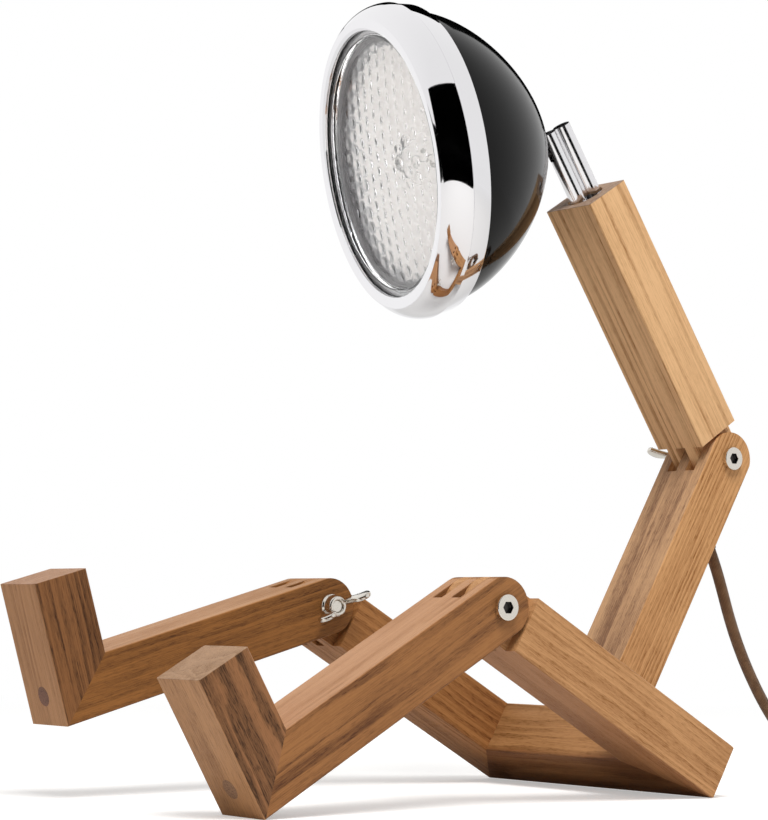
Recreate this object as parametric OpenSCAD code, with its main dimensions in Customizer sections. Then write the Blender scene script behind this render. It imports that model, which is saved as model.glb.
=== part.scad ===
// Desk lamp in the shape of a sitting wooden figure with a large shaded head.
// Origin: centre of the seat's underside. +Z up, the figure faces -Y, its left hand side is +X.

/* [Timber] */
// Width of every timber
beam_w = 34.5; // [30:0.5:40]
// Thickness of every timber
beam_t = 28; // [26:0.5:32]
// Chamfer along the long edges
edge_ease = 0.6; // [0.2:0.1:1]
// Length of the seat's rear edge
seat_w = 173; // [165:1:185]
// Length of each thigh from the seat's rear edge, and of each shin from the sole, to the knee pivot
leg_len = 157.5; // [150:0.5:165]
// Length of the lower torso from the seat's top to the waist pivot
lower_torso_len = 158.5; // [150:0.5:165]
// Length of the upper torso from the waist pivot to its top
upper_torso_len = 158.5; // [150:0.5:165]
// Length of a foot from the underside of the heel to the toe
foot_len = 68.5; // [60:0.5:75]

/* [Pose] */
// Lean of the seat and the thighs, back from level
seat_tilt = 30; // [28:0.5:32]
// Bend of the left knee from straight
left_knee_bend = 60; // [55:1:65]
// Bend of the right knee from straight
right_knee_bend = 46; // [42:1:50]
// Bend of the waist from straight
waist_bend = 63; // [58:1:66]
// Turn of the head from straight ahead, positive toward its left
neck_turn = -14.4; // [-20:0.2:0]
// Rise of the head's axis from square to the neck
head_rise = 20.7; // [15:0.1:23]

/* [Finger joints] */
// Gap on each side of a loose finger
finger_gap = 0.1; // [0.05:0.01:0.2]
// Gap between a finger's round nose and the floor of its slot
nose_gap = 1.5; // [1:0.1:3]
// Diameter of the joint bolts
bolt_d = 6; // [5:0.5:7]
// Running clearance of a bolt, round its shank
bolt_fit = 0.05; // [0.02:0.01:0.1]
// Diameter of a bolt head
bolt_head_d = 12; // [11:0.5:13]
// Height of a bolt head
bolt_head_h = 2.8; // [2.5:0.1:3.5]
// Width across the flats of a bolt's socket
bolt_socket = 5; // [4:0.5:6]
// Span of a wing nut
wing_span = 33; // [30:0.5:34]
// Height of a wing nut
wing_h = 17; // [15:0.5:19]
// Thickness of a wing
wing_t = 3; // [2.5:0.1:3.5]
// Diameter of a wing nut's foot
nut_foot_d = 13; // [12:0.5:14]
// Diameter of a wing nut's top
nut_top_d = 10; // [9:0.5:11]
// Height of a wing nut's hub
nut_hub_h = 7; // [6:0.5:9]
// Angle of the left knee's wings from the shin
left_wing_turn = 0; // [-20:1:20]
// Angle of the right knee's wings from the shin
right_wing_turn = 10; // [-20:1:40]
// Angle of the waist's wings from the lower torso's depth
waist_wing_turn = 6; // [-20:1:40]

/* [Fixings] */
// Diameter of the seat's dowels
dowel_d = 6; // [5:0.5:7]
// Length of the seat's dowels
dowel_len = 30; // [26:1:34]
// Half the distance between two dowels of a pair
dowel_half_pitch = 5.5; // [5:0.5:6.5]
// Glue clearance round a dowel, a plug or a bush
glue_fit = 0.05; // [0.02:0.01:0.1]
// Diameter of the plug in a sole
plug_d = 9.5; // [9:0.5:11]
// Height of the plug in a sole
plug_h = 4; // [3:0.5:5]
// Depth of the screw head under the sole
foot_screw_depth = 9; // [8:0.5:10]
// Diameter of a foot screw's shank
foot_screw_d = 4.5; // [4:0.1:5]
// Diameter of a foot screw's head
foot_screw_head_d = 8.6; // [8:0.1:8.9]
// Length of a foot screw
foot_screw_len = 45; // [35:1:50]

/* [Neck] */
// Diameter of each of the post's two round lobes
lobe_d = 9; // [8.5:0.1:9.5]
// Distance between the lobes' centres
lobe_pitch = 9; // [8.5:0.1:9]
// Height of the post above the torso
post_h = 38.5; // [37:0.5:41]
// How far the disc at the post's foot stands out past the lobes
neck_disc_rim = 0.25; // [0.15:0.05:0.6]
// Thickness of the disc
neck_disc_t = 2.5; // [2:0.1:3]
// Depth of the disc's face below the torso's top
neck_disc_sink = 0.8; // [0.5:0.1:1.5]
// Clearance round the disc
neck_disc_gap = 0.5; // [0.3:0.1:0.8]
// Diameter of the spigot that turns in the torso
spigot_d = 10; // [9:0.5:11]
// Running clearance round the spigot
spigot_fit = 0.05; // [0.02:0.01:0.1]
// Outside diameter of the bush
bush_d = 16; // [15:0.5:17]
// Length of the bush
bush_len = 24; // [20:1:28]
// Thickness of the circlip
circlip_t = 1; // [0.8:0.1:1.2]
// Outside diameter of the circlip
circlip_d = 14; // [13:0.5:14.5]
// Diameter of the spigot in its groove
groove_d = 8.4; // [8:0.1:8.8]
// Height of the ball's centre above the torso
ball_h = 28; // [27:0.1:29]
// Diameter of the tilting ball
ball_d = 6.5; // [6.2:0.1:6.8]
// Running clearance round the ball
ball_fit = 0.05; // [0.02:0.01:0.1]
// Depth of the round land turned on the ball, about the tilt axis
ball_land = 0.1; // [0.04:0.02:0.2]
// Diameter of the ball's stem
stem_d = 4.4; // [4:0.1:4.6]
// Length of the stem past the bowl's rear point
stem_past_shell = 9.5; // [8:0.5:10]
// Clearance on each side of the stem in its slot
stem_gap = 0.1; // [0.05:0.05:0.2]
// Travel of the head above its position, up to its stop
slot_up = 5; // [4:1:8]
// Travel of the head below its position, down to its stop
slot_down = 32; // [30:1:36]
// Diameter of the way for the leads
lead_way_d = 3.4; // [3:0.1:3.6]

/* [Head] */
// Radius of the shell at its mouth
shell_r = 74; // [72:0.5:74.5]
// Depth of the shell's bowl
shell_depth = 66; // [60:0.5:70]
// Roundness of the bowl's outline, where 2 is an ellipse
shell_roundness = 1.6; // [1.5:0.05:2]
// Thickness of the shell
shell_wall = 1; // [0.8:0.1:1.5]
// Distance along the head from the ball to the bowl's rear point
shell_start = 9.5; // [9:0.1:11]
// Height of the bowl's axis above the ball
shell_lift = 5.6; // [5:0.1:6.5]
// Length of the straight skirt at the shell's mouth
skirt_len = 7; // [6:0.5:8]
// How far the bezel's rear edge stands out past the shell
bezel_lap = 3; // [2.5:0.25:4]
// How far the bezel's belly stands out past its rear edge
bezel_bulge = 2.25; // [2:0.25:4]
// Distance from the bezel's rear edge to its belly
bezel_belly = 10.4; // [9:0.1:11]
// Distance from the bezel's rear edge to its front edge
bezel_len = 24.4; // [23:0.1:26]
// How far the bezel's front edge draws in from its belly
bezel_draw = 6.55; // [6:0.05:7]
// Width of the flat ring round the bezel's opening
bezel_face = 6.1; // [5.5:0.1:6.5]
// Thickness of the bezel
bezel_wall = 1.2; // [1:0.1:1.5]
// Gap between the lens's edge and the bezel's front edge
lens_gap = 2.2; // [2:0.1:2.6]
// Thickness of the lens's rim
lens_rim_t = 3.5; // [3:0.1:4]
// Width of the lens outside its patterned face
lens_rim = 8.5; // [8:0.5:9]
// Depth of the patterned face behind the rim
lens_dish = 4.1; // [3:0.1:4.5]
// Thickness of the patterned face
lens_t = 3; // [2.5:0.1:3.5]
// Rise of the patterned face in its middle
lens_dome = 2.4; // [1.5:0.1:4]
// Thickness of the gasket in front of the lens
gasket_t = 1; // [0.8:0.1:1.5]
// Thickness of the reflector
reflector_t = 0.8; // [0.6:0.1:1]
// Radius of the opening in the reflector's back
reflector_hole_r = 16; // [15.5:0.5:18]
// Radius of the lamp holder
holder_r = 14.5; // [14:0.1:15]
// Length of the lamp holder
holder_len = 30; // [28:1:32]
// Radius of the bulb's glass
bulb_r = 13; // [12:0.5:14]
// Length of the bulb's glass
bulb_len = 38; // [34:1:40]

/* [Cord] */
// Diameter of the cord
cord_d = 6; // [5.8:0.1:6.2]
// Height of the cord's exit above the seat's underside
relief_h = 153.5; // [148:0.5:156]
// Steepness of the cord's exit below square to the torso's back
relief_dip = 35; // [32:1:38]
// Visible length of the strain relief
relief_out = 13; // [12:0.5:14]
// Length of the strain relief inside the torso
relief_in = 12; // [10:0.5:14]
// Diameter of the strain relief at the torso
relief_d = 9.5; // [9:0.1:10]

/* [Hidden] */

$fn = 64;

ash = "burlywood";
ash_dark = "tan";
chrome = "silver";
steel = "lightgray";
black = "#151515";
brass_tone = "goldenrod";
cord_brown = "#4a2c1e";
plastic_brown = "#2e1c14";

LEFT = 1;
RIGHT = -1;

// Finger joints.
finger_count = 5;
finger_w = beam_w / finger_count;
OUTER_FINGERS = [0, 2, 4];
INNER_FINGERS = [1, 3];
nose_r = beam_t / 2;
shoulder = nose_r + nose_gap;
bolt_hole_d = bolt_d + 2 * bolt_fit;

// Seat, measured square to its own tilted underside.
knee_x = seat_w / 2 - beam_w / 2;
knee_y = beam_w / 2 - leg_len;
waist_z = beam_t + lower_torso_len;
mitre_inner = seat_w / 2 - beam_w;
dowel_row_z = beam_t / 2;
torso_dowel_x = 9;

// Neck. Heights are above the torso's top.
lobe_y = lobe_pitch / 2;
neck_disc_d = lobe_pitch + lobe_d + 2 * neck_disc_rim;
web_w = 4;
disc_top = -neck_disc_sink;
disc_bottom = disc_top - neck_disc_t;
turn_gap = 0.05;
bush_top = disc_bottom - turn_gap;
bush_bottom = bush_top - bush_len;
circlip_top = bush_bottom - turn_gap;
groove_slack = 0.05;
spigot_end = circlip_top - circlip_t - 2;
neck_well = spigot_end - 1;
torso_lead_d = 4;
torso_way_d = 5;
ball_bore_d = ball_d + 2 * ball_fit;
ball_floor = ball_h - ball_d / 2 - 0.6;
clamp_foot = ball_h + ball_d / 2 + ball_fit;
clamp_recess = 2.5;
clamp_tip = 1;
clamp_len = post_h - clamp_recess - clamp_foot;
slot_w = stem_d + 2 * stem_gap;
slot_margin = 0.4;
lead_low = -9;
lead_high = 6;
cross_way_d = lead_way_d - 0.4;
clamp_tip_d = 2.6;
clamp_socket = 3;
stud_bore_d = 2.2;

// Head. Distances are along the head from the ball's centre.
border = shell_start + shell_depth;
mouth = border + bezel_len;
ring_slope = 0.8;
lip_back = mouth - ring_slope - bezel_wall;
gasket_back = lip_back - gasket_t;
lens_back = gasket_back - lens_rim_t;
rim_back = lens_back - reflector_t;
clip_t = 1;
clip_back = rim_back - clip_t;
bezel_rear_r = shell_r + bezel_lap;
bezel_r = bezel_rear_r + bezel_bulge;
bezel_front_r = bezel_r - bezel_draw;
bezel_open_r = bezel_front_r - bezel_face;
bezel_lean = atan2(bezel_draw, bezel_len - bezel_belly);
bezel_bend_r = norm([bezel_draw, bezel_len - bezel_belly]) / (2 * sin(bezel_lean));
lens_r = bezel_front_r - lens_gap;
lens_face_r = lens_r - lens_rim;
lens_face_z = gasket_back - lens_dish;
lens_fillet = 1.4;
reflector_r = lens_r - 4.5;
bowl_foot = 46;
focus = (reflector_r * reflector_r - reflector_hole_r * reflector_hole_r)
    / (4 * (rim_back - bowl_foot));
holder_front = bowl_foot + 4;
flange_t = 2.5;
flange_r = 22;
bulb_start = holder_front - 2;
bulb_base_r = 7.2;
bulb_base_len = 22;
holder_screw_x = 18.5;
holder_screw_d = 3;

// Cord. The floor is the plane under the seat's rear lower edge.
floor_z = -beam_w / 2 * sin(seat_tilt);
switch_size = [26, 54, 14.5];
lead_z = switch_size.z / 2 + floor_z;
cord_route = [
    [0, 94.4, 114.1], [0, 99.3, 103], [0, 103.3, 92.5], [0, 107.8, 80], [0, 112.8, 68],
    [0, 118.8, 56], [0, 125.3, 45], [0, 132, 35], [0, 139, 26], [0, 146.5, 17.8],
    [0, 154.7, 10.6], [0, 163.8, 4.6], [0, 174, 0], [0, 185, -3.2], [0, 197, -5],
    [0, 209, -5.6], [0, 221.5, -5.6], [0, 234, -5.6]
];
switch_route = [
    [75.5, 234, 13], [75.6, 224, 12.6], [76, 212, 10.9], [76.4, 200, 7.6], [76.8, 188, 3.6],
    [77, 178, 0.2], [77, 170, -1.4], [77, 164, -1.4]
];
plug_route = [
    [77, 110, -1.4], [77, 104, -1.4], [77, 96, -3.2], [77, 88, -5.2], [77.8, 79.8, -5.6],
    [80.2, 74, -5.6], [84, 69, -5.6], [89, 65.2, -5.6], [94.8, 62.8, -5.6], [101, 62, -5.6],
    [107.2, 62.8, -5.6], [113, 65.2, -5.6], [118, 69, -5.6], [121.8, 74, -5.6],
    [124.2, 79.8, -5.6], [125, 88, -5.4], [125, 96, -3.9], [125, 104, -2], [125, 112, -1.4],
    [125, 118, -1.4]
];
coil_centre = [38.5, 234];
coil_r_in = 24.4;
coil_r_out = 41.7;
coil_h = 24.9;
coil_corner = 3;
switch_from = [77, 110];
rocker_size = [9, 20, 3];
rocker_rim = 0.3;
rocker_pin_d = 1.6;
rocker_pivot_z = floor_z + switch_size.z - 1;
plug_from = [125, 118];
plug_t = 14.3;
plug_len = 35;
pin_len = 19;

// ---- Frames of reference ----

module in_seat() {
    rotate([-seat_tilt, 0, 0]) children();
}

// Leg frame: origin on the knee pivot, the shin runs down -Y, the instep side is +Z.
module in_leg(side) {
    bend = side == LEFT ? left_knee_bend : right_knee_bend;
    in_seat()
        translate([side * knee_x, knee_y, beam_t / 2])
            rotate([bend, 0, 0]) children();
}

// Upper torso frame: origin on the waist pivot, the torso runs up +Z.
module in_upper() {
    in_seat()
        translate([0, 0, waist_z])
            rotate([waist_bend, 0, 0]) children();
}

// Neck frame: origin in the middle of the torso's top.
module in_neck() {
    in_upper()
        translate([0, 0, upper_torso_len])
            rotate([0, 0, neck_turn]) children();
}

// Head frame: origin on the ball, +Z forward along the head, +Y up.
module in_head() {
    in_neck()
        translate([0, -lobe_y, ball_h])
            rotate([90 - head_rise, 0, 0]) children();
}

module on_shell_axis() {
    in_head() translate([0, shell_lift, 0]) children();
}

// ---- Shapes ----

// Round bar along X, centred on the origin.
module x_rod(d, len) {
    rotate([0, 90, 0]) cylinder(d = d, h = len, center = true);
}

// Chamfered timber along X, from x0 to x1.
module timber_x(x0, x1, depth, height) {
    e = edge_ease;
    y = depth / 2;
    z = height / 2;
    translate([x0, 0, 0])
        rotate([90, 0, 90])
            linear_extrude(x1 - x0)
                polygon([
                    [-y, e - z], [e - y, -z], [y - e, -z], [y, e - z],
                    [y, z - e], [y - e, z], [e - y, z], [-y, z - e]
                ]);
}

// Chamfered timber along Y, from y0 to y1.
module timber_y(y0, y1) {
    rotate([0, 0, 90]) timber_x(y0, y1, beam_w, beam_t);
}

// Prism across X from an outline of [y, z] points.
module cross_prism(outline, w) {
    rotate([90, 0, 90]) linear_extrude(w, center = true) polygon(outline);
}

// What a comb joint takes away from a timber that runs down -Y from the pivot at the origin.
module comb_cut(keep) {
    reach = 2 * beam_t;
    for (k = [0 : finger_count - 1]) {
        x = (k + 0.5) * finger_w - beam_w / 2;
        kept = len(search(k, keep)) > 0;
        if (!kept) {
            loose = len(keep) > finger_count / 2 ? 0 : finger_gap;
            translate([x, -shoulder + reach / 2, 0])
                cube([finger_w + 2 * loose, reach, reach], center = true);
        }
    }
    difference() {
        translate([0, reach / 2, 0]) cube([2 * beam_w, reach, reach], center = true);
        x_rod(2 * nose_r, 3 * beam_w);
    }
    x_rod(bolt_hole_d, 3 * beam_w);
}

module dowel_hole(len) {
    cylinder(d = dowel_d + 2 * glue_fit, h = len + 0.4, center = true);
}

// Places of the six dowels, in the seat's frame.
module at_dowels() {
    mitre_mid = [(seat_w / 2 + mitre_inner) / 2, 0];
    for (side = [LEFT, RIGHT], row = [-1, 1]) {
        translate([side * mitre_mid.x, mitre_mid.y, dowel_row_z + row * dowel_half_pitch])
            rotate([90, 0, side * 45]) children();
    }
    for (side = [LEFT, RIGHT]) {
        translate([side * torso_dowel_x, 0, beam_t]) children();
    }
}

// ---- Seat and lower torso ----

module crossbar() {
    color(ash) in_seat() difference() {
        translate([0, 0, beam_t / 2]) timber_x(-seat_w / 2, seat_w / 2, beam_w, beam_t);
        for (side = [LEFT, RIGHT]) mitre_end(side);
        at_dowels() dowel_hole(dowel_len);
    }
}

// Wedge in front of a mitre, on the thigh's side of it.
module mitre_end(side) {
    mirror([side == LEFT ? 0 : 1, 0, 0])
        translate([seat_w / 2, beam_w / 2, beam_t / 2])
            rotate([0, 0, 45])
                translate([0, -beam_w, 0])
                    cube([4 * beam_w, 2 * beam_w, 2 * beam_t], center = true);
}

module thigh(side) {
    color(ash) in_seat() difference() {
        translate([side * knee_x, 0, beam_t / 2])
            timber_y(knee_y - nose_r, beam_w / 2);
        difference() {
            translate([side * knee_x, beam_w / 2, beam_t / 2])
                cube([2 * beam_w, 2 * beam_w, 2 * beam_t], center = true);
            mitre_end(side);
        }
        translate([side * knee_x, knee_y, beam_t / 2])
            rotate([180, 0, 0]) comb_cut(INNER_FINGERS);
        at_dowels() dowel_hole(dowel_len);
    }
}

module left_thigh() thigh(LEFT);

module right_thigh() thigh(RIGHT);

module seat_dowels() {
    color(ash_dark) in_seat() at_dowels() cylinder(d = dowel_d, h = dowel_len, center = true);
}

// Places of the strain relief: +Z out of the torso along the cord.
module at_relief() {
    in_seat()
        translate([0, beam_t / 2, relief_h])
            rotate([-90 - relief_dip, 0, 0]) children();
}

module lower_torso() {
    lead_slot_r = nose_r - 4.5;
    difference() {
        color(ash) in_seat() difference() {
            translate([0, 0, waist_z]) rotate([90, 0, 0])
                timber_y(-lower_torso_len, nose_r);
            translate([0, 0, waist_z]) rotate([90, 0, 0]) comb_cut(OUTER_FINGERS);
            at_dowels() dowel_hole(dowel_len);
            translate([0, 0, waist_z]) rotate([0, 90, 0]) difference() {
                cylinder(r = 2 * beam_t, h = torso_way_d, center = true);
                cylinder(r = lead_slot_r, h = 2 * torso_way_d, center = true);
                translate([beam_t, -beam_t, 0]) cube([4 * beam_t, 2 * beam_t, beam_t], center = true);
                translate([2 * beam_t + 2, 0, 0]) cube([4 * beam_t, 6 * beam_t, beam_t], center = true);
            }
        }
        color(ash_dark) at_relief() translate([0, 0, -relief_in - 0.2])
            cylinder(d = relief_d + 2 * glue_fit, h = relief_in + 12);
    }
}

module strain_relief() {
    flare = relief_d / 2;
    relief_lip = 0.6;
    color(plastic_brown) at_relief() difference() {
        union() {
            translate([0, 0, -relief_in]) cylinder(r = flare, h = relief_in + relief_out / 2);
            translate([0, 0, relief_out / 2])
                cylinder(r1 = flare, r2 = cord_d / 2 + relief_lip, h = relief_out / 2);
        }
        translate([0, 0, -relief_in - 1])
            cylinder(d = cord_d - 2, h = relief_out + relief_in + 2);
    }
}

// ---- Bolts and wing nuts, on a hinge axis along X with the head at +X ----

module joint_bolt() {
    tip = nut_hub_h - 1;
    socket_floor = 0.8;
    color(steel) difference() {
        union() {
            translate([tip / -2, 0, 0]) x_rod(bolt_d, beam_w + tip);
            translate([beam_w / 2, 0, 0]) rotate([0, 90, 0])
                cylinder(d = bolt_head_d, h = bolt_head_h);
        }
        translate([beam_w / 2 + socket_floor, 0, 0]) rotate([0, 90, 0])
            cylinder(d = bolt_socket / cos(30), h = bolt_head_h, $fn = 6);
    }
}

module wing_nut(turn) {
    lobe_r = 5;
    lobe_x = wing_span / 2 - lobe_r;
    color(steel) translate([-beam_w / 2 - turn_gap, 0, 0]) rotate([turn, 0, 0]) rotate([0, -90, 0])
        difference() {
            union() {
                cylinder(d1 = nut_foot_d, d2 = nut_top_d, h = nut_hub_h);
                for (way = [1, -1]) {
                    rotate([90, 0, way > 0 ? 90 : -90])
                        linear_extrude(wing_t, center = true) {
                            translate([lobe_x, wing_h - lobe_r]) circle(r = lobe_r);
                            polygon([
                                [bolt_d / 2 + 0.5, 1.5], [nut_foot_d / 2, 1.5],
                                [wing_span / 2 - 1.2, wing_h - lobe_r - 3.2],
                                [lobe_x - 4, wing_h - lobe_r + 3],
                                [bolt_d / 2 + 0.5, nut_hub_h - 0.5]
                            ]);
                        }
                }
            }
            translate([0, 0, -1]) cylinder(d = bolt_hole_d, h = wing_h + 2);
        }
}

// Waist frame of the lower torso: hinge axis along X.
module at_waist() {
    in_seat() translate([0, 0, waist_z]) children();
}

module waist_bolt() at_waist() joint_bolt();

module waist_wing_nut() at_waist() wing_nut(waist_wing_turn);

module knee_side(side) {
    in_leg(side) mirror([side == LEFT ? 0 : 1, 0, 0]) children();
}

module left_knee_bolt() knee_side(LEFT) joint_bolt();

module right_knee_bolt() knee_side(RIGHT) joint_bolt();

module left_wing_nut() knee_side(LEFT) wing_nut(left_wing_turn);

module right_wing_nut() knee_side(RIGHT) wing_nut(right_wing_turn);

// ---- Legs ----

module shin(side) {
    color(ash_dark) in_leg(side) difference() {
        timber_y(-leg_len, nose_r);
        comb_cut(OUTER_FINGERS);
        cross_prism([
            [-leg_len, -beam_t / 2], [beam_t - leg_len, beam_t / 2],
            [beam_t - leg_len, beam_t], [-2 * leg_len, beam_t], [-2 * leg_len, -beam_t / 2]
        ], 2 * beam_w);
        sole_drill();
    }
}

// Drilled way of the foot screw and its plug, up from the sole.
module sole_drill() {
    translate([0, -leg_len, 0]) rotate([-90, 0, 0]) {
        translate([0, 0, -1]) cylinder(d = plug_d + 2 * glue_fit, h = foot_screw_depth + 1);
        cylinder(d = foot_screw_d + 2 * glue_fit, h = foot_screw_depth + foot_screw_len + 1);
    }
}

module foot(side) {
    color(ash_dark) in_leg(side) difference() {
        translate([0, beam_t / 2 - leg_len, foot_len - beam_t / 2]) rotate([90, 0, 0])
            timber_y(-foot_len, 0);
        cross_prism([
            [-leg_len, -beam_t / 2], [beam_t - leg_len, beam_t / 2],
            [2 * beam_t - leg_len, beam_t / 2], [2 * beam_t - leg_len, -beam_t],
            [-leg_len, -beam_t]
        ], 2 * beam_w);
        sole_drill();
    }
}

module foot_screw(side) {
    color(steel) in_leg(side) translate([0, foot_screw_depth - leg_len, 0]) rotate([-90, 0, 0]) {
        head_h = 3;
        translate([0, 0, -head_h]) cylinder(d = foot_screw_head_d, h = head_h);
        cylinder(d = foot_screw_d, h = foot_screw_len);
    }
}

module sole_plug(side) {
    color(ash_dark) in_leg(side) translate([0, -leg_len, 0]) rotate([-90, 0, 0])
        cylinder(d = plug_d, h = plug_h);
}

module left_shin() shin(LEFT);

module left_foot() foot(LEFT);

module left_foot_screw() foot_screw(LEFT);

module left_sole_plug() sole_plug(LEFT);

module right_shin() shin(RIGHT);

module right_foot() foot(RIGHT);

module right_foot_screw() foot_screw(RIGHT);

module right_sole_plug() sole_plug(RIGHT);

// ---- Upper torso and neck ----

module upper_torso() {
    color(ash) in_upper() difference() {
        rotate([-90, 0, 0]) timber_y(-upper_torso_len, nose_r);
        rotate([-90, 0, 0]) comb_cut(INNER_FINGERS);
        translate([0, 0, upper_torso_len]) {
            translate([0, 0, bush_top]) cylinder(d = neck_disc_d + 2 * neck_disc_gap, h = beam_t);
            translate([0, 0, neck_well]) cylinder(d = bush_d + 2 * glue_fit, h = beam_t - neck_well);
        }
        cylinder(d = torso_way_d, h = upper_torso_len);
    }
}

module torso_lead() {
    bottom = shoulder + 1;
    color(plastic_brown) in_upper() translate([0, (torso_way_d - torso_lead_d) / 2 - 0.05, bottom])
        cylinder(d = torso_lead_d, h = upper_torso_len + neck_well - bottom);
}

module neck_bush() {
    color(brass_tone) in_upper() translate([0, 0, upper_torso_len + bush_bottom]) difference() {
        cylinder(d = bush_d, h = bush_len);
        translate([0, 0, -1]) cylinder(d = spigot_d + 2 * spigot_fit, h = bush_len + 2);
    }
}

module neck_post() {
    low = ball_h - lobe_d / 2 * tan(slot_down - head_rise) - slot_w / 2 - slot_margin;
    high = ball_h + lobe_d / 2 * tan(head_rise + slot_up) + slot_w / 2 + slot_margin;
    root = 0.5;
    color(chrome) in_neck() difference() {
        union() {
            for (y = [-lobe_y, lobe_y]) {
                translate([0, y, disc_top - root]) cylinder(d = lobe_d, h = post_h - disc_top + root);
            }
            translate([-web_w / 2, -1, disc_top - root]) cube([web_w, 2, post_h - disc_top + root]);
            translate([0, 0, disc_bottom]) cylinder(d = neck_disc_d, h = neck_disc_t);
            translate([0, 0, spigot_end]) cylinder(d = spigot_d, h = disc_bottom - spigot_end + root);
        }
        translate([0, 0, circlip_top - circlip_t - groove_slack]) difference() {
            cylinder(d = 2 * spigot_d, h = circlip_t + 2 * groove_slack);
            translate([0, 0, -1]) cylinder(d = groove_d, h = circlip_t + 3);
        }
        translate([0, -lobe_y, ball_floor]) cylinder(d = ball_bore_d, h = post_h);
        translate([0, -lobe_y, lead_high - 1])
            cylinder(d = lead_way_d, h = ball_floor - lead_high + 1.1);
        translate([0, 0, lead_low]) rotate([atan(lobe_y / (lead_high - lead_low)), 0, 0])
            cylinder(d = cross_way_d, h = lead_high - lead_low + 2);
        translate([0, 0, spigot_end - 1]) cylinder(d = lead_way_d, h = lead_low - spigot_end + 2);
        translate([-slot_w / 2, -lobe_y - lobe_d, low]) cube([slot_w, lobe_d, high - low]);
    }
}

module neck_circlip() {
    color(steel) in_neck() translate([0, 0, circlip_top - circlip_t]) difference() {
        cylinder(d = circlip_d, h = circlip_t);
        translate([0, 0, -1]) cylinder(d = groove_d + 0.1, h = circlip_t + 2);
        translate([0, -circlip_d / 2, circlip_t / 2]) cube([3, circlip_d, 2], center = true);
    }
}

module tilt_clamp_screw() {
    color(steel) in_neck() translate([0, -lobe_y, clamp_foot]) difference() {
        union() {
            cylinder(d = clamp_tip_d, h = clamp_tip + 0.5);
            translate([0, 0, clamp_tip]) cylinder(d = ball_d, h = clamp_len - clamp_tip);
        }
        translate([0, 0, clamp_len - 1.2]) cylinder(d = clamp_socket / cos(30), h = clamp_len, $fn = 6);
    }
}

// ---- Head ----

// Distance ahead of the bowl's rear point at which its outline reaches the radius r.
function bowl_rise(r, big_r, depth) =
    depth * (1 - pow(1 - pow(r / big_r, shell_roundness), 1 / shell_roundness));

// Points of a bowl's outline, from its rear point out to its mouth.
function bowl_outline(big_r, depth, start) = [
    for (i = [0 : 24]) let (r = big_r * sin(90 * i / 24)) [r, start + bowl_rise(r, big_r, depth)]
];

module bowl_solid(shrink) {
    big_r = shell_r - shrink;
    rotate_extrude($fn = 96) polygon(concat(
        bowl_outline(big_r, shell_depth - shrink, shell_start + shrink),
        [[big_r, border + skirt_len + shrink], [0, border + skirt_len + shrink]]
    ));
}

module head_shell() {
    color(black) on_shell_axis() difference() {
        bowl_solid(0);
        bowl_solid(shell_wall);
        translate([0, -shell_lift, 0]) cylinder(d = stem_d + 0.1, h = shell_start + 10);
    }
}

module tilt_ball_stud() {
    collar_d = 8;
    color(steel) in_head() difference() {
        union() {
            rotate([0, 90, 0]) rotate_extrude() intersection() {
                circle(d = ball_d);
                translate([0, -ball_d]) square([(ball_d - ball_land) / 2, 2 * ball_d]);
            }
            cylinder(d = stem_d, h = shell_start + stem_past_shell);
            difference() {
                translate([0, 0, shell_start - 2]) cylinder(d = collar_d, h = 6);
                translate([0, shell_lift, 0]) bowl_solid(0);
            }
        }
        translate([0, 0, -ball_d])
            cylinder(d = stud_bore_d, h = ball_d + 2 * (shell_start + stem_past_shell));
    }
}

module tilt_nut() {
    nut_d = 9;
    color(steel) in_head() difference() {
        intersection() {
            cylinder(d = nut_d, h = shell_start + 9);
            translate([0, shell_lift, 0]) bowl_solid(shell_wall);
        }
        cylinder(d = stem_d + 0.1, h = 40);
    }
}

// Point of the bezel's arc at a degrees from its belly, on a surface set in by the inset.
function bezel_curve(a, inset) = [
    bezel_r - bezel_bend_r + (bezel_bend_r - inset) * cos(a),
    border + bezel_belly + (bezel_bend_r - inset) * sin(a)
];

module bezel() {
    steps = 12;
    inset = bezel_wall;
    seat_angle = asin((lip_back - border - bezel_belly) / (bezel_bend_r - inset));
    outside = [for (i = [0 : steps]) bezel_curve(2 * bezel_lean * i / steps, 0)];
    inside = [for (i = [steps : -1 : 0]) bezel_curve(seat_angle * i / steps, inset)];
    color(chrome) on_shell_axis() rotate_extrude($fn = 96) polygon(concat(
        [[shell_r + glue_fit, border], [bezel_rear_r, border]],
        outside,
        [[bezel_open_r, mouth - ring_slope], [bezel_open_r, lip_back]],
        inside,
        [[bezel_rear_r - inset, border + inset], [shell_r + glue_fit, border + inset]]
    ));
}

// Flat ring about the shell's axis.
module head_ring(r_in, r_out, z0, z1) {
    rotate_extrude($fn = 96) translate([r_in, z0]) square([r_out - r_in, z1 - z0]);
}

module lens_gasket() {
    gasket_w = 3.5;
    color(black) on_shell_axis() head_ring(lens_r - gasket_w, lens_r, gasket_back, lip_back);
}

// Height of the dome over the edge of the lens's patterned face at the radius r.
function dome_rise(r) = lens_dome * (1 - pow(r / lens_face_r, 2));

// Dished lens: a flat rim, a short wall and a domed face set back behind the rim.
module lens() {
    steps = 10;
    radii = [for (i = [0 : steps]) lens_face_r * i / steps];
    back_z = lens_face_z - lens_t;
    color("white", 0.5) on_shell_axis() rotate_extrude($fn = 96) polygon(concat(
        [for (r = radii) [r, lens_face_z + dome_rise(r)]],
        [[lens_face_r + lens_fillet, gasket_back], [lens_r, gasket_back], [lens_r, lens_back]],
        [[lens_face_r + 2 * lens_fillet, lens_back], [lens_face_r + 1, back_z]],
        [for (i = [steps : -1 : 0]) [radii[i], back_z + dome_rise(radii[i])]]
    ));
}

// Distance along the head at which the reflector's bowl has the radius r.
function mirror_z(r) = bowl_foot + (r * r - reflector_hole_r * reflector_hole_r) / (4 * focus);

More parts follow.
